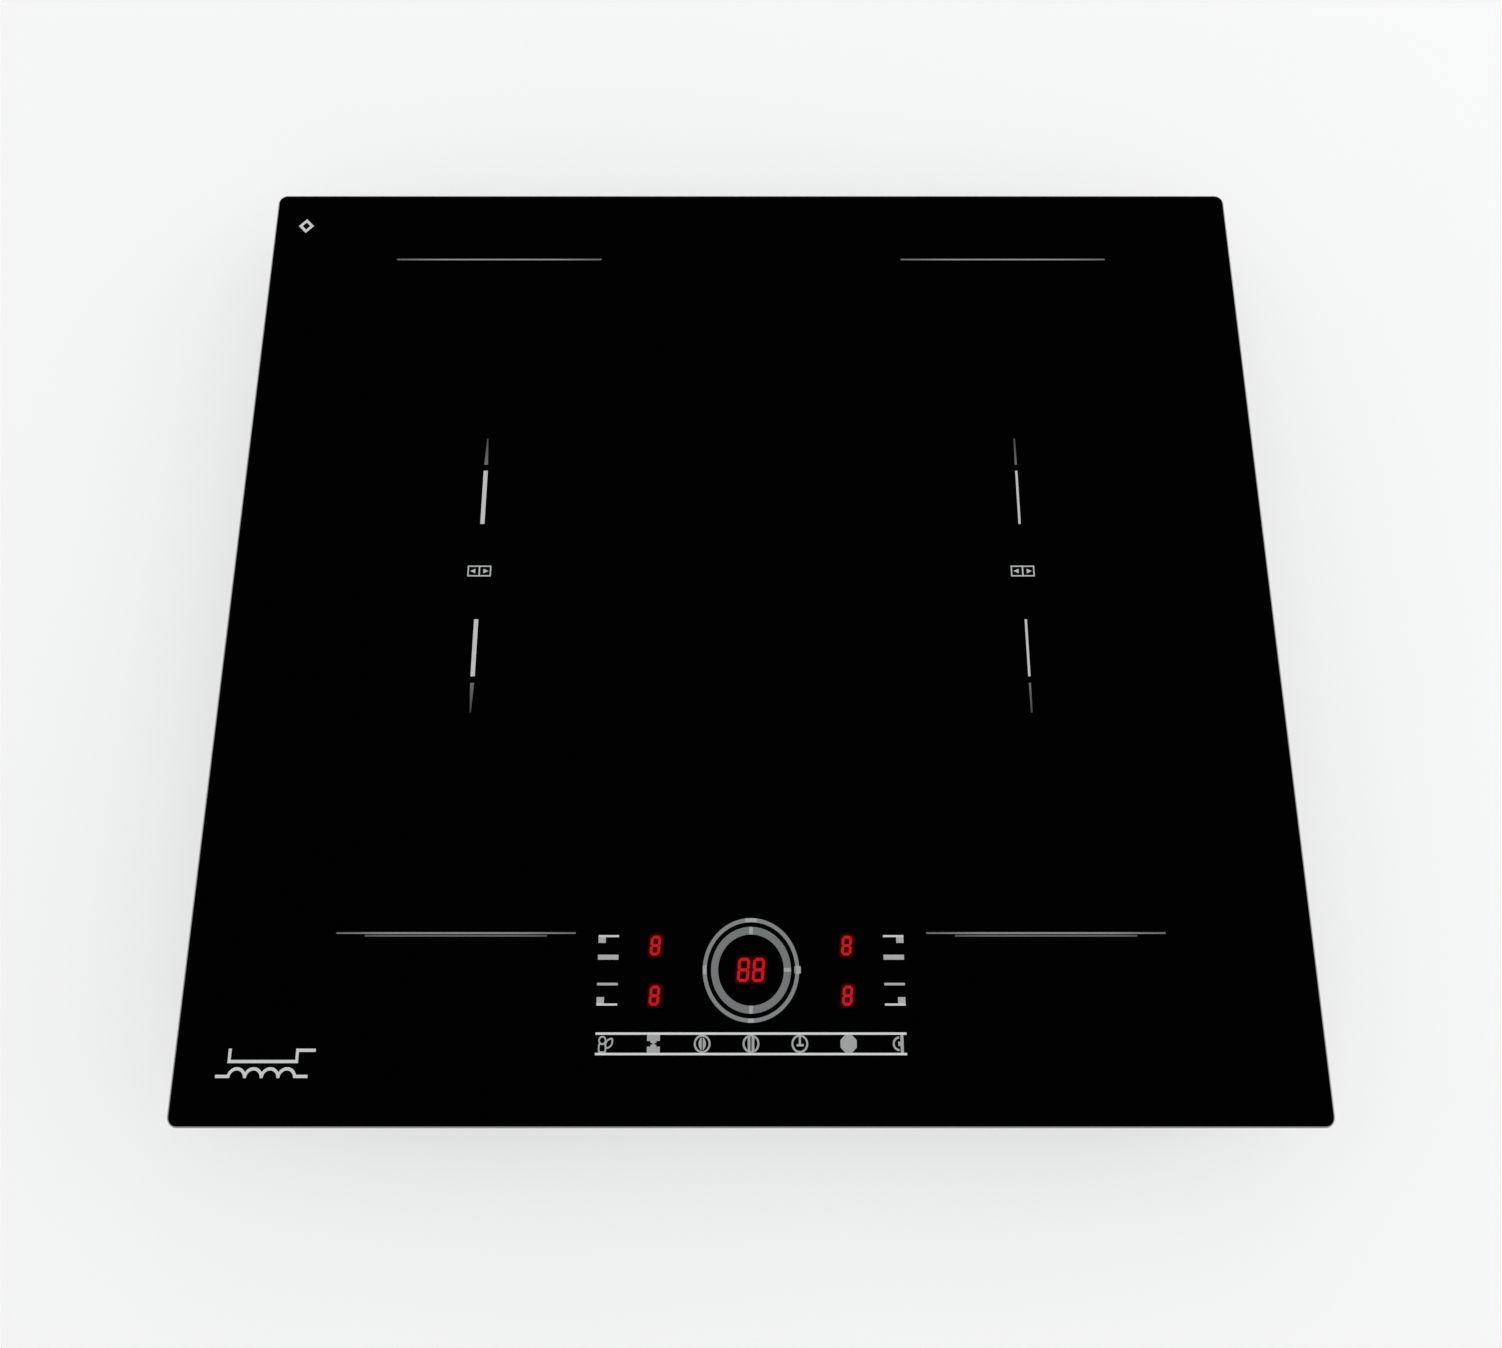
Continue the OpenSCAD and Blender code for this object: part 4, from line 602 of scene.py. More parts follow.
# %% Ring ink
def ring_levels(tree, spot):
    """Mid grey rings with bright ticks at the quarters."""
    inner_r = ring_r - 6.15 * MM
    ticks = [((0, ring_r - 1 * MM), (3 * MM, 1.2 * MM)), ((0, -ring_r + 1 * MM), (1.5 * MM, 1.2 * MM)),
             ((-ring_r + 1 * MM, 0), (1.2 * MM, 2.1 * MM)), ((ring_r + 0.5 * MM, 0), (2.2 * MM, 2 * MM)),
             ((0, inner_r), (0.9 * MM, 1.95 * MM)), ((0, -inner_r), (0.9 * MM, 1.95 * MM)),
             ((inner_r, 0), (1.95 * MM, 0.9 * MM))]
    inner = use(tree, soft_patch, {"Vector": spot, "Centre": (0, ring_y, 0), "Half Size": (0, 0, 0),
                                   "Edge": 2 * (ring_r - 3 * MM)})
    level = mixed(tree, ranged(tree, inner.outputs["Mask"], 0.49, 0.51, 0.0, 1.0), (0.225, 0.23, 0.23, 1),
                  (0.175, 0.18, 0.18, 1))
    for (x, y), (half_w, half_h) in ticks:
        tick = use(tree, soft_patch, {"Vector": spot, "Centre": (x, ring_y + y, 0),
                                      "Half Size": (half_w, half_h, 0), "Edge": 0.1 * MM})
        level = mixed(tree, tick.outputs["Mask"], level, (0.37, 0.37, 0.37, 1))
    return level


finishes["ring_ink"] = ink_finish("ring_ink", ring_levels)
print("rings", round(ring_r / MM, 1), "mm in radius")

# %% [markdown]
# ## Metals
# One recipe serves every sheet and fastener: a base colour varied by the zinc crystals or by drawn
# lines, a roughness that follows them, a slight relief, and brighter edges that are partly wear and
# partly painted highlight.

# %% Zinc-coated sheet
def zinc_finish(slot, cell_scale, dull, bright):
    """Sheet steel with zinc crystals."""
    material, tree, shader, spot = start_finish(slot, Metallic=1.0)
    zinc = use(tree, zinc_spangle, {"Vector": spot, "Scale": cell_scale})
    fine = use(tree, fine_grain, {"Vector": spot, "Scale": 1800.0, "Slow Scale": 9.0})
    wear_and_highlight = use(tree, edge_wear_and_highlight, {"Vector": spot, "Width": 0.5 * MM})
    crystals = mixed(tree, zinc.outputs["Shade"], shaded(colours[slot], dull), shaded(colours[slot], bright))
    smudged = mixed(tree, ranged(tree, fine.outputs["Shade"], 0.35, 0.75, 0.0, 0.35), crystals,
                    shaded(colours[slot], dull * 0.8))
    # Edges turn towards a paler zinc: partly wear, partly painted highlight.
    tree.links.new(mixed(tree, wear_and_highlight.outputs["Wear and Highlight"], smudged, shaded(colours[slot], 1.25)),
                   shader.inputs["Base Color"])
    rough = ranged(tree, zinc.outputs["Gloss"], 0.0, 1.0, 0.34, 0.48)
    tree.links.new(maths(tree, "ADD", rough, ranged(tree, fine.outputs["Gloss"], 0.4, 0.7, 0.0, 0.12)),
                   shader.inputs["Roughness"])
    bumped(tree, shader, fine.outputs["Height"], 0.01 * MM)
    return material


finishes["galvanised_steel"] = zinc_finish("galvanised_steel", 210.0, 0.88, 1.06)
finishes["plated_steel"] = zinc_finish("plated_steel", 900.0, 0.94, 1.05)
print("zinc finishes:", sorted(finishes))

# %% [markdown]
# The coil plates are rolled sheet, the heatsinks extruded, and the wire and brass drawn. They differ only
# in where the lines run and how far they stretch, so one function makes all six finishes.

# %% Rolled, extruded and drawn metal
def lined_finish(slot, stretch, roughness, contrast=0.12, **steady):
    """Metal with lines along one axis."""
    material, tree, shader, spot = start_finish(slot, Metallic=1.0, **steady)
    lines = use(tree, drawn_lines, {"Vector": spot, "Stretch": stretch})
    fine = use(tree, fine_grain, {"Vector": spot, "Scale": 1200.0, "Slow Scale": 12.0})
    wear_and_highlight = use(tree, edge_wear_and_highlight, {"Vector": spot, "Width": 0.4 * MM})
    body = mixed(tree, lines.outputs["Shade"], shaded(colours[slot], 1 - contrast),
                 shaded(colours[slot], 1 + contrast / 2))
    # Edges turn towards a paler metal: partly wear, partly painted highlight.
    tree.links.new(mixed(tree, wear_and_highlight.outputs["Wear and Highlight"], body, shaded(colours[slot], 1.2)),
                   shader.inputs["Base Color"])
    rough = ranged(tree, lines.outputs["Height"], 0.3, 0.7, roughness - 0.06, roughness + 0.06)
    tree.links.new(maths(tree, "ADD", rough, ranged(tree, fine.outputs["Gloss"], 0.4, 0.7, 0.0, 0.08)),
                   shader.inputs["Roughness"])
    bumped(tree, shader, lines.outputs["Height"], 0.012 * MM)
    return material


for slot_name, stretch, roughness, more in (
        ("aluminium_sheet", (900.0, 14.0, 900.0), 0.32, {}),
        ("aluminium_extrusion", (1400.0, 10.0, 1400.0), 0.3, {}),
        ("spring_steel", (700.0, 700.0, 700.0), 0.25, {}),
        ("terminal_brass", (900.0, 900.0, 60.0), 0.28, {}),
        ("choke_copper", (500.0, 500.0, 500.0), 0.3, {"Coat_Weight": 0.4}),
        ("litz_copper", (420.0, 420.0, 420.0), 0.34, {"contrast": 0.3, "Coat_Weight": 0.3})):
    finishes[slot_name] = lined_finish(slot_name, stretch, roughness, **more)
print("metal finishes:", sum("steel" in n or "copper" in n or "alu" in n or "brass" in n for n in finishes))

# %% [markdown]
# ## Plastics, rubber and ceramic
# Moulded parts share one recipe. Only the grain's size and the gloss differ:
# a housing is grainy and dull, a fan wheel is satin, rubber is duller still.

# %% Moulded finishes
def moulded_finish(slot, grain, roughness):
    """A moulded or pressed piece."""
    material, tree, shader, spot = start_finish(slot)
    fine = use(tree, fine_grain, {"Vector": spot, "Scale": grain, "Slow Scale": 22.0})
    wear_and_highlight = use(tree, edge_wear_and_highlight, {"Vector": spot, "Width": 0.4 * MM})
    body = mixed(tree, fine.outputs["Shade"], shaded(colours[slot], 0.86), shaded(colours[slot], 1.14))
    # Edges turn paler at half strength: partly wear, partly painted highlight.
    pale = tuple(min(1.0, channel * 1.5 + 0.03) for channel in colours[slot]) + (1,)
    worn_and_highlit = maths(tree, "MULTIPLY", wear_and_highlight.outputs["Wear and Highlight"], 0.5)
    tree.links.new(mixed(tree, worn_and_highlit, body, pale), shader.inputs["Base Color"])
    tree.links.new(ranged(tree, fine.outputs["Gloss"], 0.3, 0.7, roughness - 0.07, roughness + 0.07),
                   shader.inputs["Roughness"])
    bumped(tree, shader, fine.outputs["Height"], 0.03 * MM)
    return material


moulded = {
    "black_plastic": (1100.0, 0.5), "grey_plastic": (900.0, 0.55), "fan_plastic": (1600.0, 0.34),
    "ferrite": (2400.0, 0.62), "sensor_silicone": (700.0, 0.5), "capacitor_plastic": (1500.0, 0.4),
    "component_epoxy": (2200.0, 0.58), "terminal_plastic": (1400.0, 0.42), "display_plastic": (1500.0, 0.5),
    "grommet_rubber": (800.0, 0.7), "ribbon_plastic": (1200.0, 0.45),
}
for slot_name, (grain_scale, dullness) in moulded.items():
    finishes[slot_name] = moulded_finish(slot_name, grain_scale, dullness)
print("moulded finishes:", len(moulded))

# %% [markdown]
# The seal under the rim and the touch pads are closed-cell foam, a mineral felt lies over each coil, and
# the leads wear braided sleeves. Modelled fibres would be far too many, so relief and colour stand for
# them.

# %% Foam, felt and sleeves
def foam_finish(slot, cell_scale):
    """Closed-cell foam: small round cells with thin walls."""
    material, tree, shader, spot = start_finish(slot, Roughness=0.85)
    cells = place(tree, "ShaderNodeTexVoronoi", {"Vector": spot, "Scale": cell_scale})
    fine = use(tree, fine_grain, {"Vector": spot, "Scale": 1500.0, "Slow Scale": 30.0})
    walls = ranged(tree, cells.outputs["Distance"], 0.2, 0.8, 0.0, 1.0)
    # Painted shade and highlight: the cell hollows are darker and the walls lighter, as the relief is.
    body = mixed(tree, walls, shaded(colours[slot], 0.6), shaded(colours[slot], 1.5))
    tree.links.new(mixed(tree, ranged(tree, fine.outputs["Shade"], 0.4, 0.8, 0.0, 0.5), body,
                         shaded(colours[slot], 1.9)), shader.inputs["Base Color"])
    bumped(tree, shader, walls, 0.1 * MM)
    return material


def fibre_finish(slot, scale, loose, relief, **steady):
    """Braided sleeve or needled felt."""
    material, tree, shader, spot = start_finish(slot, **steady)
    braid = use(tree, fibres, {"Vector": spot, "Scale": scale, "Loose": loose})
    # Painted shade: the low places between the fibres are darker and the raised ones lighter, as the relief
    # is.
    body = mixed(tree, braid.outputs["Height"], shaded(colours[slot], 0.7), shaded(colours[slot], 1.15))
    tree.links.new(mixed(tree, ranged(tree, braid.outputs["Shade"], 0.5, 0.75, 0.0, 0.4), body,
                         shaded(colours[slot], 1.35)), shader.inputs["Base Color"])
    tree.links.new(ranged(tree, braid.outputs["Height"], 0.0, 1.0, 0.9, 0.7), shader.inputs["Roughness"])
    bumped(tree, shader, braid.outputs["Height"], relief)
    return material


finishes["seal_foam"] = foam_finish("seal_foam", 1300.0)
finishes["touch_foam"] = foam_finish("touch_foam", 1100.0)
finishes["mineral_mat"] = fibre_finish("mineral_mat", 160.0, 0.8, 0.2 * MM, Sheen_Weight=0.3)
for slot_name in ("red_sleeve", "brown_sleeve"):
    finishes[slot_name] = fibre_finish(slot_name, 420.0, 0.25, 0.1 * MM)
print("soft finishes:", [name for name in finishes if "foam" in name or "mat" in name or "sleeve" in name])

# %% [markdown]
# ## Circuit boards
# Under its lacquer a board shows copper tracks that run square to its edges, and small bright pads. A
# Voronoi texture with square distances gives blocks of copper with thin gaps; a second, finer one gives
# the pads.

# %% Board finish
def board_finish(slot, copper_lift):
    """Lacquered board with tracks and tinned pads."""
    material, tree, shader, spot = start_finish(slot, Coat_Weight=0.3)
    second, nearest = (place(tree, "ShaderNodeTexVoronoi", {
        "Vector": spot, "Scale": 230.0, "Randomness": 0.9}, distance="CHEBYCHEV", feature=which)
        for which in ("F2", "F1"))
    between = maths(tree, "SUBTRACT", second.outputs["Distance"], nearest.outputs["Distance"])
    copper = ranged(tree, between, 0.05, 0.09, 0.0, 1.0)
    pad_cells = place(tree, "ShaderNodeTexVoronoi", {"Vector": spot, "Scale": 420.0, "Randomness": 0.35})
    pads = ranged(tree, pad_cells.outputs["Distance"], 0.13, 0.16, 1.0, 0.0)
    chosen = place(tree, "ShaderNodeSeparateColor", {"Color": pad_cells.outputs["Color"]}).outputs["Red"]
    pads = maths(tree, "MULTIPLY", pads, ranged(tree, chosen, 0.62, 0.64, 0.0, 1.0))
    fine = use(tree, fine_grain, {"Vector": spot, "Scale": 900.0, "Slow Scale": 25.0})
    lacquer = mixed(tree, fine.outputs["Shade"], shaded(colours[slot], 0.85), shaded(colours[slot], 1.1))
    tracked = mixed(tree, copper, lacquer, shaded(colours[slot], copper_lift))
    tree.links.new(mixed(tree, pads, tracked, (0.62, 0.62, 0.6, 1)), shader.inputs["Base Color"])
    tree.links.new(ranged(tree, pads, 0.0, 1.0, 0.36, 0.28), shader.inputs["Roughness"])
    tree.links.new(pads, shader.inputs["Metallic"])
    bumped(tree, shader, copper, 0.03 * MM)
    return material


finishes["circuit_green"] = board_finish("circuit_green", 1.5)
finishes["circuit_black"] = board_finish("circuit_black", 1.8)
print("finishes so far:", len(finishes), "of", len(colours), "slots")

# %% [markdown]
# ## Dressing the CAD nodes
# The record lists each node's slot. The two printed nodes share a slot but each has its own brightness,
# so they get their own version of the ink.

# %% Assign the finishes
own_finish = {"zone_print": zone_ink, "control_print": control_ink}
for entry in record["subparts"]:
    node_name = entry["node"]
    node_finish = own_finish.get(node_name) or finishes[entry["material_slot"]]
    node_mesh = nodes[node_name].data
    if not node_mesh.materials:
        node_mesh.materials.append(node_finish)
    for place_in_list in range(len(node_mesh.materials)):
        node_mesh.materials[place_in_list] = node_finish
print("dressed", len(record["subparts"]), "nodes")

# %% [markdown]
# ## Lit digits
# Each display draws a figure from seven short strokes of light. The CAD's digits are cut into the
# modules, hidden by the black glass, so what a cook sees is the light that comes through it. It is
# modelled as thin glowing strokes at the glass's surface. Each stroke is a small slab with pointed ends,
# and leans a little, as on a real display.

# %% Mesh helper
def add_piece(name, points, faces, finish, slot, smooth=False):
    """A new piece from points and faces, with its finish. The slot is not used. It rides on the case."""
    mesh = bpy.data.meshes.new(name)
    mesh.from_pydata(points, [], faces)
    mesh.validate()
    if smooth:
        mesh.polygons.foreach_set("use_smooth", [True] * len(mesh.polygons))
    mesh.materials.append(finish)
    piece = bpy.data.objects.new(name, mesh)
    scene.collection.objects.link(piece)
    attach(piece, "root")
    return piece


def slab(outline, low, high):
    """Points and faces of a flat outline, anticlockwise, made into a slab."""
    n = len(outline)
    points = [(x, y, low) for x, y in outline] + [(x, y, high) for x, y in outline]
    faces = [tuple(reversed(range(n))), tuple(range(n, 2 * n))]
    faces += [(i, (i + 1) % n, n + (i + 1) % n, n + i) for i in range(n)]
    return points, faces


def joined(parts):
    """Several (points, faces) as one."""
    points, faces = [], []
    for part_points, part_faces in parts:
        faces += [tuple(i + len(points) for i in face) for face in part_faces]
        points += part_points
    return points, faces


print("mesh helpers ready")

# %% [markdown]
# All seven strokes of a figure share one outline. It is laid flat for the bars and turned upright for the
# posts, then every point is pushed sideways by its height, which gives the slant.

# %% Lit strokes
def stroke_outline(length, width):
    """A stroke along X with pointed ends."""
    half, point = length / 2, width / 2
    return [(-half, 0), (-half + point, -point), (half - point, -point), (half, 0), (half - point, point),
            (-half + point, point)]


def digit_strokes(centre, size):
    """The seven strokes of one figure, as flat outlines."""
    (x0, y0), (w, h) = centre, size
    width, gap = stroke_w, 0.04 * MM
    bars = [(0, level * (h - width) / 2, w - width - 2 * gap, 0) for level in (-1, 0, 1)]
    posts = [(side * (w - width) / 2, level * (h - width) / 4, (h - width) / 2 - 2 * gap, 90)
             for side in (-1, 1) for level in (-1, 1)]
    outlines = []
    for x, y, length, turn in bars + posts:
        outline = stroke_outline(length, width)
        if turn:
            outline = [(-v, u) for u, v in outline]
        outlines.append([(x0 + x + u + digit_slant * (y + v), y0 + y + v) for u, v in outline])
    return outlines


red_light, tree, shader, spot = start_finish("display_light", Roughness=0.4, Emission_Strength=1.0)
light_grain = use(tree, fine_grain, {"Vector": spot, "Scale": 1800.0, "Slow Scale": 300.0})
light_colour = mixed(tree, light_grain.outputs["Shade"], (0.43, 0.003, 0.009, 1), (0.57, 0.007, 0.016, 1))
tree.links.new(light_colour, shader.inputs["Emission Color"])
tree.links.new(mixed(tree, light_grain.outputs["Shade"], (0.02, 0, 0, 1), (0.03, 0, 0, 1)),
               shader.inputs["Base Color"])
stroke_low = glass_high.z - 0.02 * MM
stroke_high = glass_high.z + 0.04 * MM
for count, (centre, size) in enumerate(digit_places):
    strokes = [slab(outline, stroke_low, stroke_high) for outline in digit_strokes(centre, size)]
    add_piece(f"lit_digit_{count + 1}", *joined(strokes), red_light, "display_plastic")
print("lit digits:", len(digit_places), "with", 7 * len(digit_places), "strokes")

# %% [markdown]
# ## Coils, springs and screw threads
# Wire, springs and threads are all one section carried along a path, so one sweeping helper makes them.
# At each point of the path it turns the section square to the path and keeps one side of it upright.

# %% Sweep and lathe
UP = Vector((0, 0, 1))


def even_steps(path, step):
    """The same path, walked in equal steps."""
    walked, ahead = [path[0]], step
    for start, stop in zip(path, path[1:]):
        length = (stop - start).length
        while ahead <= length:
            walked.append(start.lerp(stop, ahead / length))
            ahead += step
        ahead -= length
    return walked


def tube(rings):
    """Points and faces of a closed skin over rings that all have the same number of points."""
    n = len(rings[0])
    points = [point for ring in rings for point in ring]
    faces = [tuple(range(n)), tuple(reversed(range(len(points) - n, len(points))))]
    for first in range(0, len(points) - n, n):
        faces += [(first + k, first + n + k, first + n + (k + 1) % n, first + (k + 1) % n) for k in range(n)]
    return points, faces


def swept(path, section_at):
    """A section carried along a path. section_at(distance) gives its points, anticlockwise."""
    rings, travelled = [], 0.0
    for i, here in enumerate(path):
        before, after = path[max(i - 1, 0)], path[min(i + 1, len(path) - 1)]
        travelled += (here - before).length
        along = (after - before).normalized()
        sideways = along.cross(UP).normalized()
        upwards = sideways.cross(along)
        rings.append([here + sideways * u + upwards * v for u, v in section_at(travelled)])
    return tube(rings)


def lathe(centre, profile, sides):
    """A turned piece: profile is (radius, height) from the bottom to the top."""
    rings = [[centre + Vector((r * math.cos(-math.tau * k / sides), r * math.sin(-math.tau * k / sides), z))
              for k in range(sides)] for r, z in profile]
    return tube(rings)


print("sweep and lathe ready")

# %% [markdown]
# An induction coil is wound from litz: many thin lacquered wires twisted into one rope, so that a fast
# current spreads over all of them. The CAD holds each winding as a flat band. Here the rope lies where
# the band lies, with five strands that turn round each other once every 60 mm. The coil's outline is a
# superellipse, a shape between an ellipse and a rectangle, and each turn is one step further out.

# %% Litz windings
turns = 15
turn_step = 4.2 * MM
rim_gap = 1.7 * MM
litz_r = 1.65 * MM
path_step = 3 * MM
strands = 5
lay = 60 * MM
squareness = 3


def litz_section(travelled):
    """Five strands, seen end on."""
    start = math.tau * travelled / lay
    return [(r * math.cos(start + math.pi * k / strands), r * math.sin(start + math.pi * k / strands))
            for k, r in enumerate((litz_r, 0.8 * litz_r) * strands)]


def rounded_power(value):
    """A cosine or sine bent so that an ellipse turns into a superellipse."""
    return math.copysign(abs(value) ** (2 / squareness), value)


def winding_path(centre, half, side, end, z):
    """The spiral from the hub to the rim. It starts on the side that faces the cooktop's middle."""
    per_turn = 120
    path = []
    for i in range(turns * per_turn + 1):
        angle = math.tau * i / per_turn
        inset = rim_gap + litz_r + (turns - i / per_turn) * turn_step
        path.append(Vector((centre.x - side * (half.x - inset) * rounded_power(math.cos(angle)),
                            centre.y - end * (half.y - inset) * rounded_power(math.sin(angle)), z)))
    return even_steps(path, path_step)


for side, side_name in ((-1, "left"), (1, "right")):
    for end, end_name in ((-1, "front"), (1, "rear")):
        corner = f"{end_name}_{side_name}"
        former_low, former_high = (Vector(c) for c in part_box(f"coil_former_{corner}"))
        flat_low, flat_high = (Vector(c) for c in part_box(f"coil_winding_{corner}"))
        rope = winding_path((former_low + former_high) / 2, (former_high - former_low) / 2, side, end,
                            (flat_low.z + flat_high.z) / 2)
        litz = add_piece(f"litz_winding_{corner}", *swept(rope, litz_section), finishes["litz_copper"],
                         "litz_copper", smooth=True)
        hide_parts(f"coil_winding_{corner}")
        print(litz.name, round(path_step * len(rope), 1), "m of litz")

# %% [markdown]
# Several nodes hold a handful of equal pieces, such as eight springs. To put a detailed piece in each
# place, the places are read back from the node's mesh: points that edges join belong to one piece.

# %% Where the loose pieces are
def loose_boxes(name):
    """The lowest and highest corners of each separate piece in a CAD node, in a steady order."""
    mesh = nodes[name].data
    key_of = [tuple(round(c / (0.01 * MM)) for c in v.co) for v in mesh.vertices]
    leader = {key: key for key in key_of}

    def lead(key):
        while leader[key] != key:
            key = leader[key]
        return key

    for edge in mesh.edges:
        first, second = lead(key_of[edge.vertices[0]]), lead(key_of[edge.vertices[1]])
        leader[max(first, second)] = min(first, second)
    boxes = {}
    for vertex, key in zip(mesh.vertices, key_of):
        low, high = boxes.setdefault(lead(key), (vertex.co.copy(), vertex.co.copy()))
        for axis in range(3):
            low[axis] = min(low[axis], vertex.co[axis])
            high[axis] = max(high[axis], vertex.co[axis])
    return sorted(boxes.values(), key=lambda box: tuple(round(c / MM) for c in box[0]))


print("spring places:", len(loose_boxes("plate_springs")))

# %% [markdown]
# The springs that press the coil plates against the glass are wound from round wire, with their end
# turns nearly closed so that they stand square. The helix rises slowly at both ends and faster between.

# %% Plate springs
spring_wire_r = 0.5 * MM
spring_turns = 5
spring_steps = 28 * spring_turns


def round_section(radius, sides):
    """A section_at for plain round wire."""
    turns_of = [math.tau * k / sides for k in range(sides)]
    circle = [(radius * math.cos(angle), radius * math.sin(angle)) for angle in turns_of]
    return lambda travelled: circle


for count, (low, high) in enumerate(loose_boxes("plate_springs")):
    middle = (low + high) / 2
    helix_r = (high.x - low.x) / 2 - spring_wire_r
    helix_h = high.z - low.z - 2 * spring_wire_r
    helix = []
    for i in range(spring_steps + 1):
        share = i / spring_steps
        angle = math.tau * spring_turns * share
        rise = share - 0.07 * math.sin(math.tau * share)
        helix.append(Vector((middle.x + helix_r * math.cos(angle), middle.y + helix_r * math.sin(angle),
                             low.z + spring_wire_r + helix_h * rise)))
    spring = add_piece(f"wound_spring_{count + 1}", *swept(helix, round_section(spring_wire_r, 10)),
                       finishes["spring_steel"], "spring_steel", smooth=True)
    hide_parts("plate_springs")
print("springs:", count + 1, "with", spring_turns, "turns each")

# %% [markdown]
# Each worktop clamp climbs a long screw when it is turned from below. A thread is a ridge that rises by
# one pitch a turn, so the screw is modelled as a stack of rings whose radius swells where the ridge
# passes. The head is turned on the lathe helper, and a cross-shaped cutter makes its recess: a boolean
# is the quick way to a clean recess, and it is applied at once, so that no cutter stays behind.

# %% Clamp screws
clamp_slot = next(e["material_slot"] for e in record["subparts"] if e["node"] == "clamp_screws")
head_r, head_h = 5 * MM, 3 * MM
thread_r, thread_depth, pitch = 2.5 * MM, 0.42 * MM, 0.8 * MM
around, per_pitch = 20, 6


def threaded_shank(centre, low, high):
    """A rod with a helical ridge, plain at both ends."""
    steps = round((high - low) / pitch * per_pitch)
    rings = []
    for i in range(steps + 1):
        z = low + (high - low) * i / steps
        fade = min(1.0, (z - low) / (2 * pitch), (high - z) / pitch)
        ring = []
        for k in range(around):
            phase = (z / pitch + k / around) % 1
            ridge = thread_r - thread_depth * abs(2 * phase - 1) * fade - 0.02 * MM
            angle = -math.tau * k / around
            ring.append(Vector((centre.x + ridge * math.cos(angle), centre.y + ridge * math.sin(angle), z)))
        rings.append(ring)
    return tube(rings)


def cut_away(piece, points, faces):
    """Cuts a closed shape out of a piece, for good."""
    cutter_mesh = bpy.data.meshes.new("cutter")
    cutter_mesh.from_pydata(points, [], faces)
    cutter = bpy.data.objects.new("cutter", cutter_mesh)
    scene.collection.objects.link(cutter)
    cut = piece.modifiers.new("recess", "BOOLEAN")
    cut.object, cut.operation, cut.solver = cutter, "DIFFERENCE", "EXACT"
    bpy.context.view_layer.update()
    result = bpy.data.meshes.new_from_object(piece.evaluated_get(bpy.context.evaluated_depsgraph_get()))
    piece.modifiers.remove(cut)
    piece.data = result
    bpy.data.objects.remove(cutter)
    bpy.data.meshes.remove(cutter_mesh)


def cross_outline(centre, reach, half_w):
    """A plus sign, anticlockwise."""
    quarter = [(reach, -half_w), (reach, half_w), (half_w, half_w)]
    turned = []
    for turn in range(4):
        c, s = (1, 0, -1, 0)[turn], (0, 1, 0, -1)[turn]
        turned += [(centre.x + c * x - s * y, centre.y + s * x + c * y) for x, y in quarter]
    return turned


for count, (low, high) in enumerate(loose_boxes("clamp_screws")):
    middle = (low + high) / 2
    crown = [(head_r - 0.9 * MM, 0.0), (head_r - 0.35 * MM, 0.2 * MM), (head_r, 0.75 * MM),
             (head_r, head_h - 0.15 * MM), (head_r - 0.15 * MM, head_h)]
    turned_head = lathe(Vector((middle.x, middle.y, low.z)), crown, 48)
    screw = add_piece(f"clamp_screw_head_{count + 1}", *turned_head, finishes[clamp_slot], clamp_slot)
    cut_away(screw, *slab(cross_outline(middle, 2.6 * MM, 0.6 * MM), low.z - 1 * MM, low.z + 1.4 * MM))
    shank = threaded_shank(middle, low.z + head_h - 0.05 * MM, high.z)
    thread = add_piece(f"clamp_screw_thread_{count + 1}", *shank, finishes[clamp_slot], clamp_slot)
    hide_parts("clamp_screws")
    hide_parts("clamp_screws")
print("clamp screws:", count + 1, "with a pitch of", round(pitch / MM, 1), "mm")

# %% [markdown]
# ## Small parts on the power boards
# Beside the big parts from the CAD, a power board carries rows of small ones: round electrolytic
# capacitors, chips with bent legs, and flat chip resistors. They are built from the same
# helpers as the coils and the digits, and set out in rows on the free fields of each board. Their sizes
# and small shifts are drawn from seeded dice, so that both boards come out the same on each run.

# %% Small parts
board_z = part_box("board_capacitors")[0][2] + 0.02 * MM
leg_step = 1.27 * MM


def can(x, y, r, h):
    """An electrolytic capacitor: a crimped can with a rounded rim."""
    crimp = [(r * 0.94, 0), (r, 0.3 * MM), (r, 1.3 * MM), (r * 0.9, 1.7 * MM), (r, 2.1 * MM)]
    rim = [(r, h - 0.5 * MM), (r * 0.92, h - 0.1 * MM), (r * 0.82, h), (r * 0.8, h - 0.2 * MM)]
    return lathe(Vector((x, y, board_z)), crimp + rim, 28)


def box_outline(x, y, w, d):
    """A rectangle about (x, y), anticlockwise."""
    return [(x - w / 2, y - d / 2), (x + w / 2, y - d / 2), (x + w / 2, y + d / 2), (x - w / 2, y + d / 2)]


def chip_body(x, y, w, d, h):
    """A moulded chip: widest at its waist, where the legs come out."""
    rings = []
    for inset, z in ((0.25 * MM, 0.2 * MM), (0, h * 0.5), (0, h * 0.6), (0.3 * MM, h)):
        rings.append([Vector((u, v, board_z + z)) for u, v in
                      reversed(box_outline(x, y, w - 2 * inset, d - 2 * inset))])
    return tube(rings)


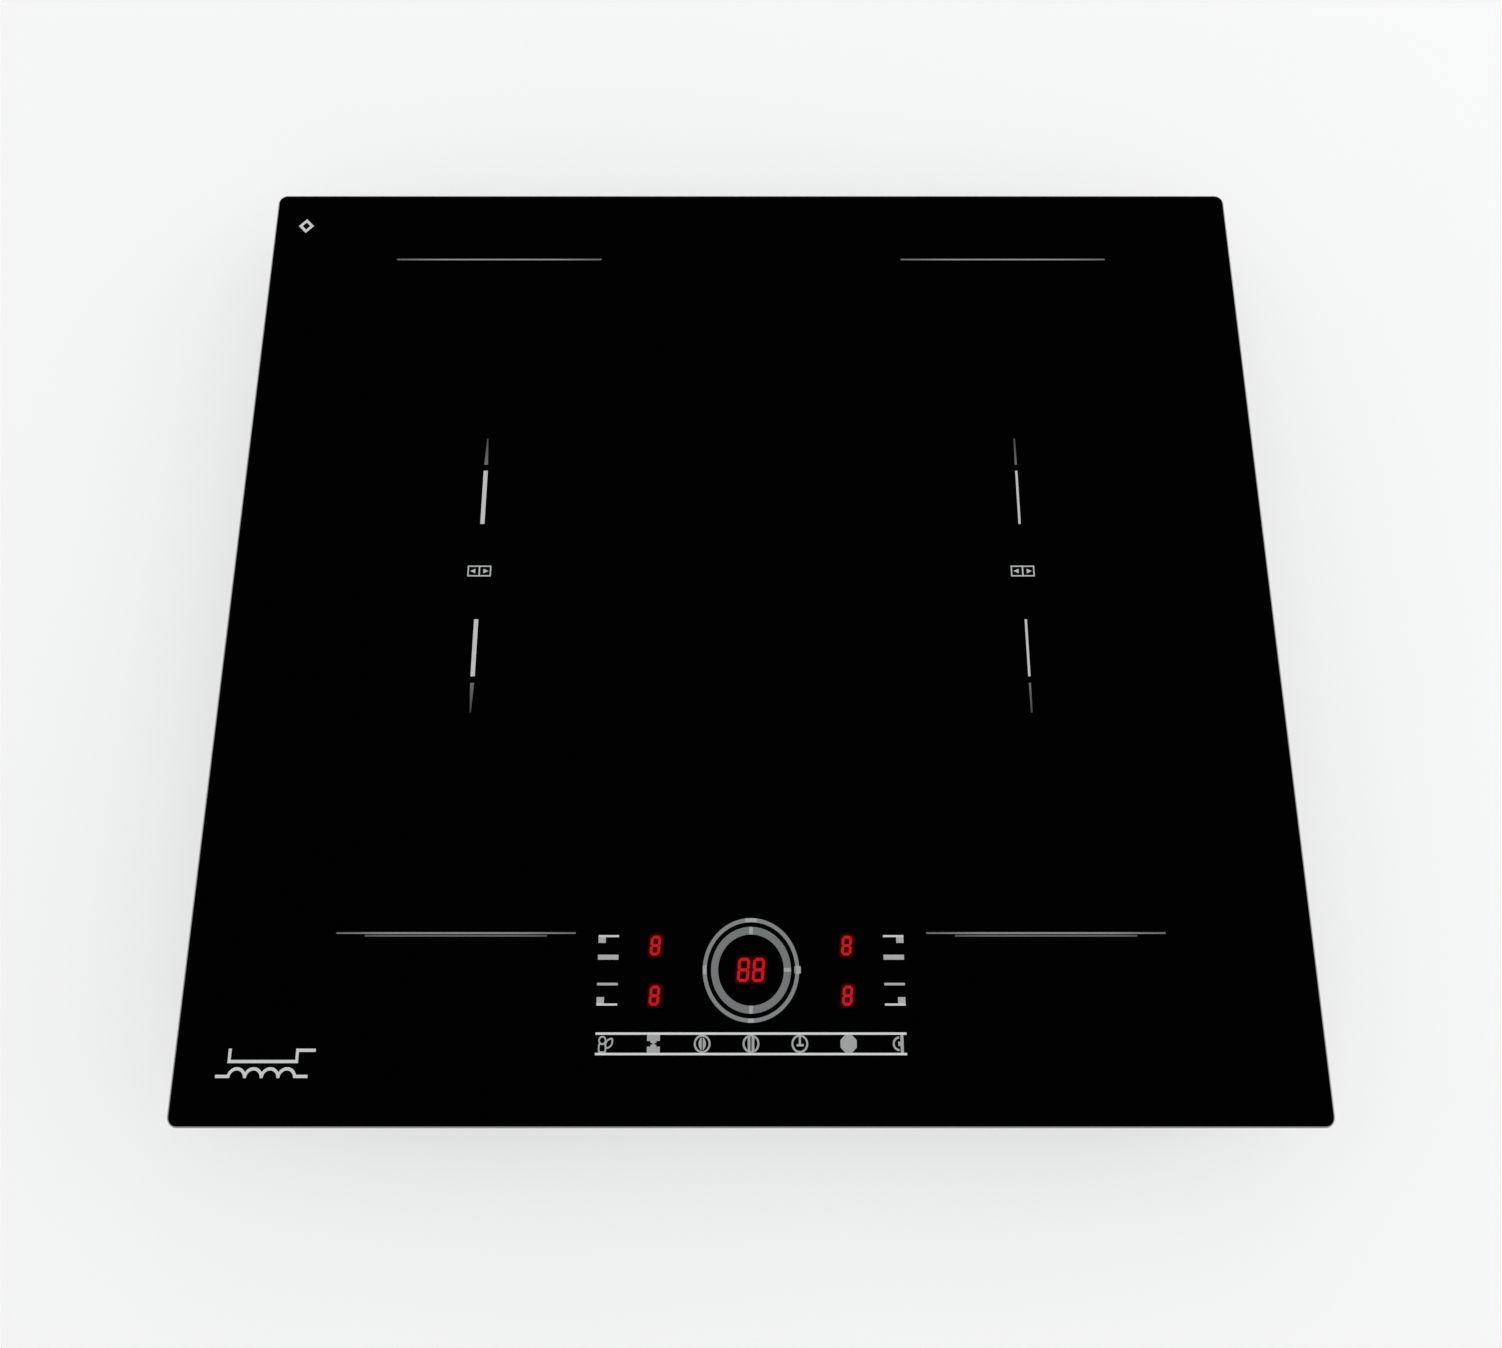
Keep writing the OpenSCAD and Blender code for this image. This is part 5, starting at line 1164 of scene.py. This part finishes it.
def chip_legs(x, y, w, d, h, count):
    """Two rows of legs that step down to the board."""
    legs = []
    for k in range(count):
        leg_y = y + (k - (count - 1) / 2) * leg_step
        for way in (-1, 1):
            under = [(w / 2, h * 0.5), (w / 2 + 0.5 * MM, h * 0.5), (w / 2 + 0.7 * MM, 0.0),
                     (w / 2 + 1.3 * MM, 0.0)]
            over = [(u + (0 if i == 0 else 0.1 * MM), v + 0.15 * MM) for i, (u, v) in enumerate(under)]
            outline = under + over[::-1]
            rings = [[Vector((x + way * u, leg_y + across * 0.2 * MM, board_z + v)) for u, v in outline]
                     for across in ((-1, 1) if way > 0 else (1, -1))]
            legs.append(tube(rings))
    return legs


def resistor(x, y, w, d, h):
    """A chip resistor's body."""
    return slab(box_outline(x, y, w, d), board_z, board_z + h)


print("small parts stand at", round(board_z / MM, 2), "mm")

# %% [markdown]
# The rows follow the board's big parts: cans in the lane beside the heatsink, chips in front of it, and
# resistors along the inner edge. Each kind becomes one piece per board, which keeps the list short.

# %% Fill the power boards
def small_parts(side, side_name):
    """Sets out the small parts of one board and adds them as four pieces."""
    dice = random.Random(7)
    board_low, board_high = (Vector(c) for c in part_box(f"power_board_{side_name}"))
    sink_low, sink_high = (Vector(c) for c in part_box(f"heatsink_{side_name}"))
    inner = board_low.x if side > 0 else board_high.x
    outer = board_high.x if side > 0 else board_low.x
    sink_outer = sink_high.x if side > 0 else sink_low.x
    cans, bodies, legs, resistors = [], [], [], []
    lane = (sink_outer + outer) / 2
    for k in range(6):
        radius, height = dice.choice([4, 5]) * MM, dice.uniform(12, 16) * MM
        cans.append(can(lane, sink_low.y + (14 + 24 * k) * MM, radius, height))
    for row in range(2):
        for k in range(3):
            x, y = outer - side * (18 + 24 * k) * MM, sink_low.y - (14 + 22 * row) * MM
            count = dice.choice([4, 8])
            size = (x, y, 4 * MM, count * leg_step + 0.6 * MM, 1.7 * MM)
            bodies.append(chip_body(*size))
            legs += chip_legs(*size, count)
    for k in range(14):
        x, y = inner + side * (22 + dice.uniform(-1, 1)) * MM, sink_low.y + (8 + 10.5 * k) * MM
        resistors.append(resistor(x, y, 3.2 * MM, 1.6 * MM, 0.6 * MM))
        x, y = inner + side * 29 * MM, y + dice.uniform(-2, 2) * MM
        resistors.append(resistor(x, y, 1.6 * MM, 3.2 * MM, 0.6 * MM))
    return cans, bodies, legs, resistors


kinds = (("capacitor_cans", "capacitor_plastic"), ("chip_bodies", "component_epoxy"),
         ("chip_legs", "plated_steel"), ("chip_resistors", "component_epoxy"))
for side, side_name in ((-1, "left"), (1, "right")):
    for parts, (kind, kind_slot) in zip(small_parts(side, side_name), kinds):
        add_piece(f"{kind}_{side_name}", *joined(parts), finishes[kind_slot], kind_slot)
        print(side_name, kind, len(parts))

# %% [markdown]
# ## End
# Dressing must not change the cooktop's size.

# %% End
print("dressing done")
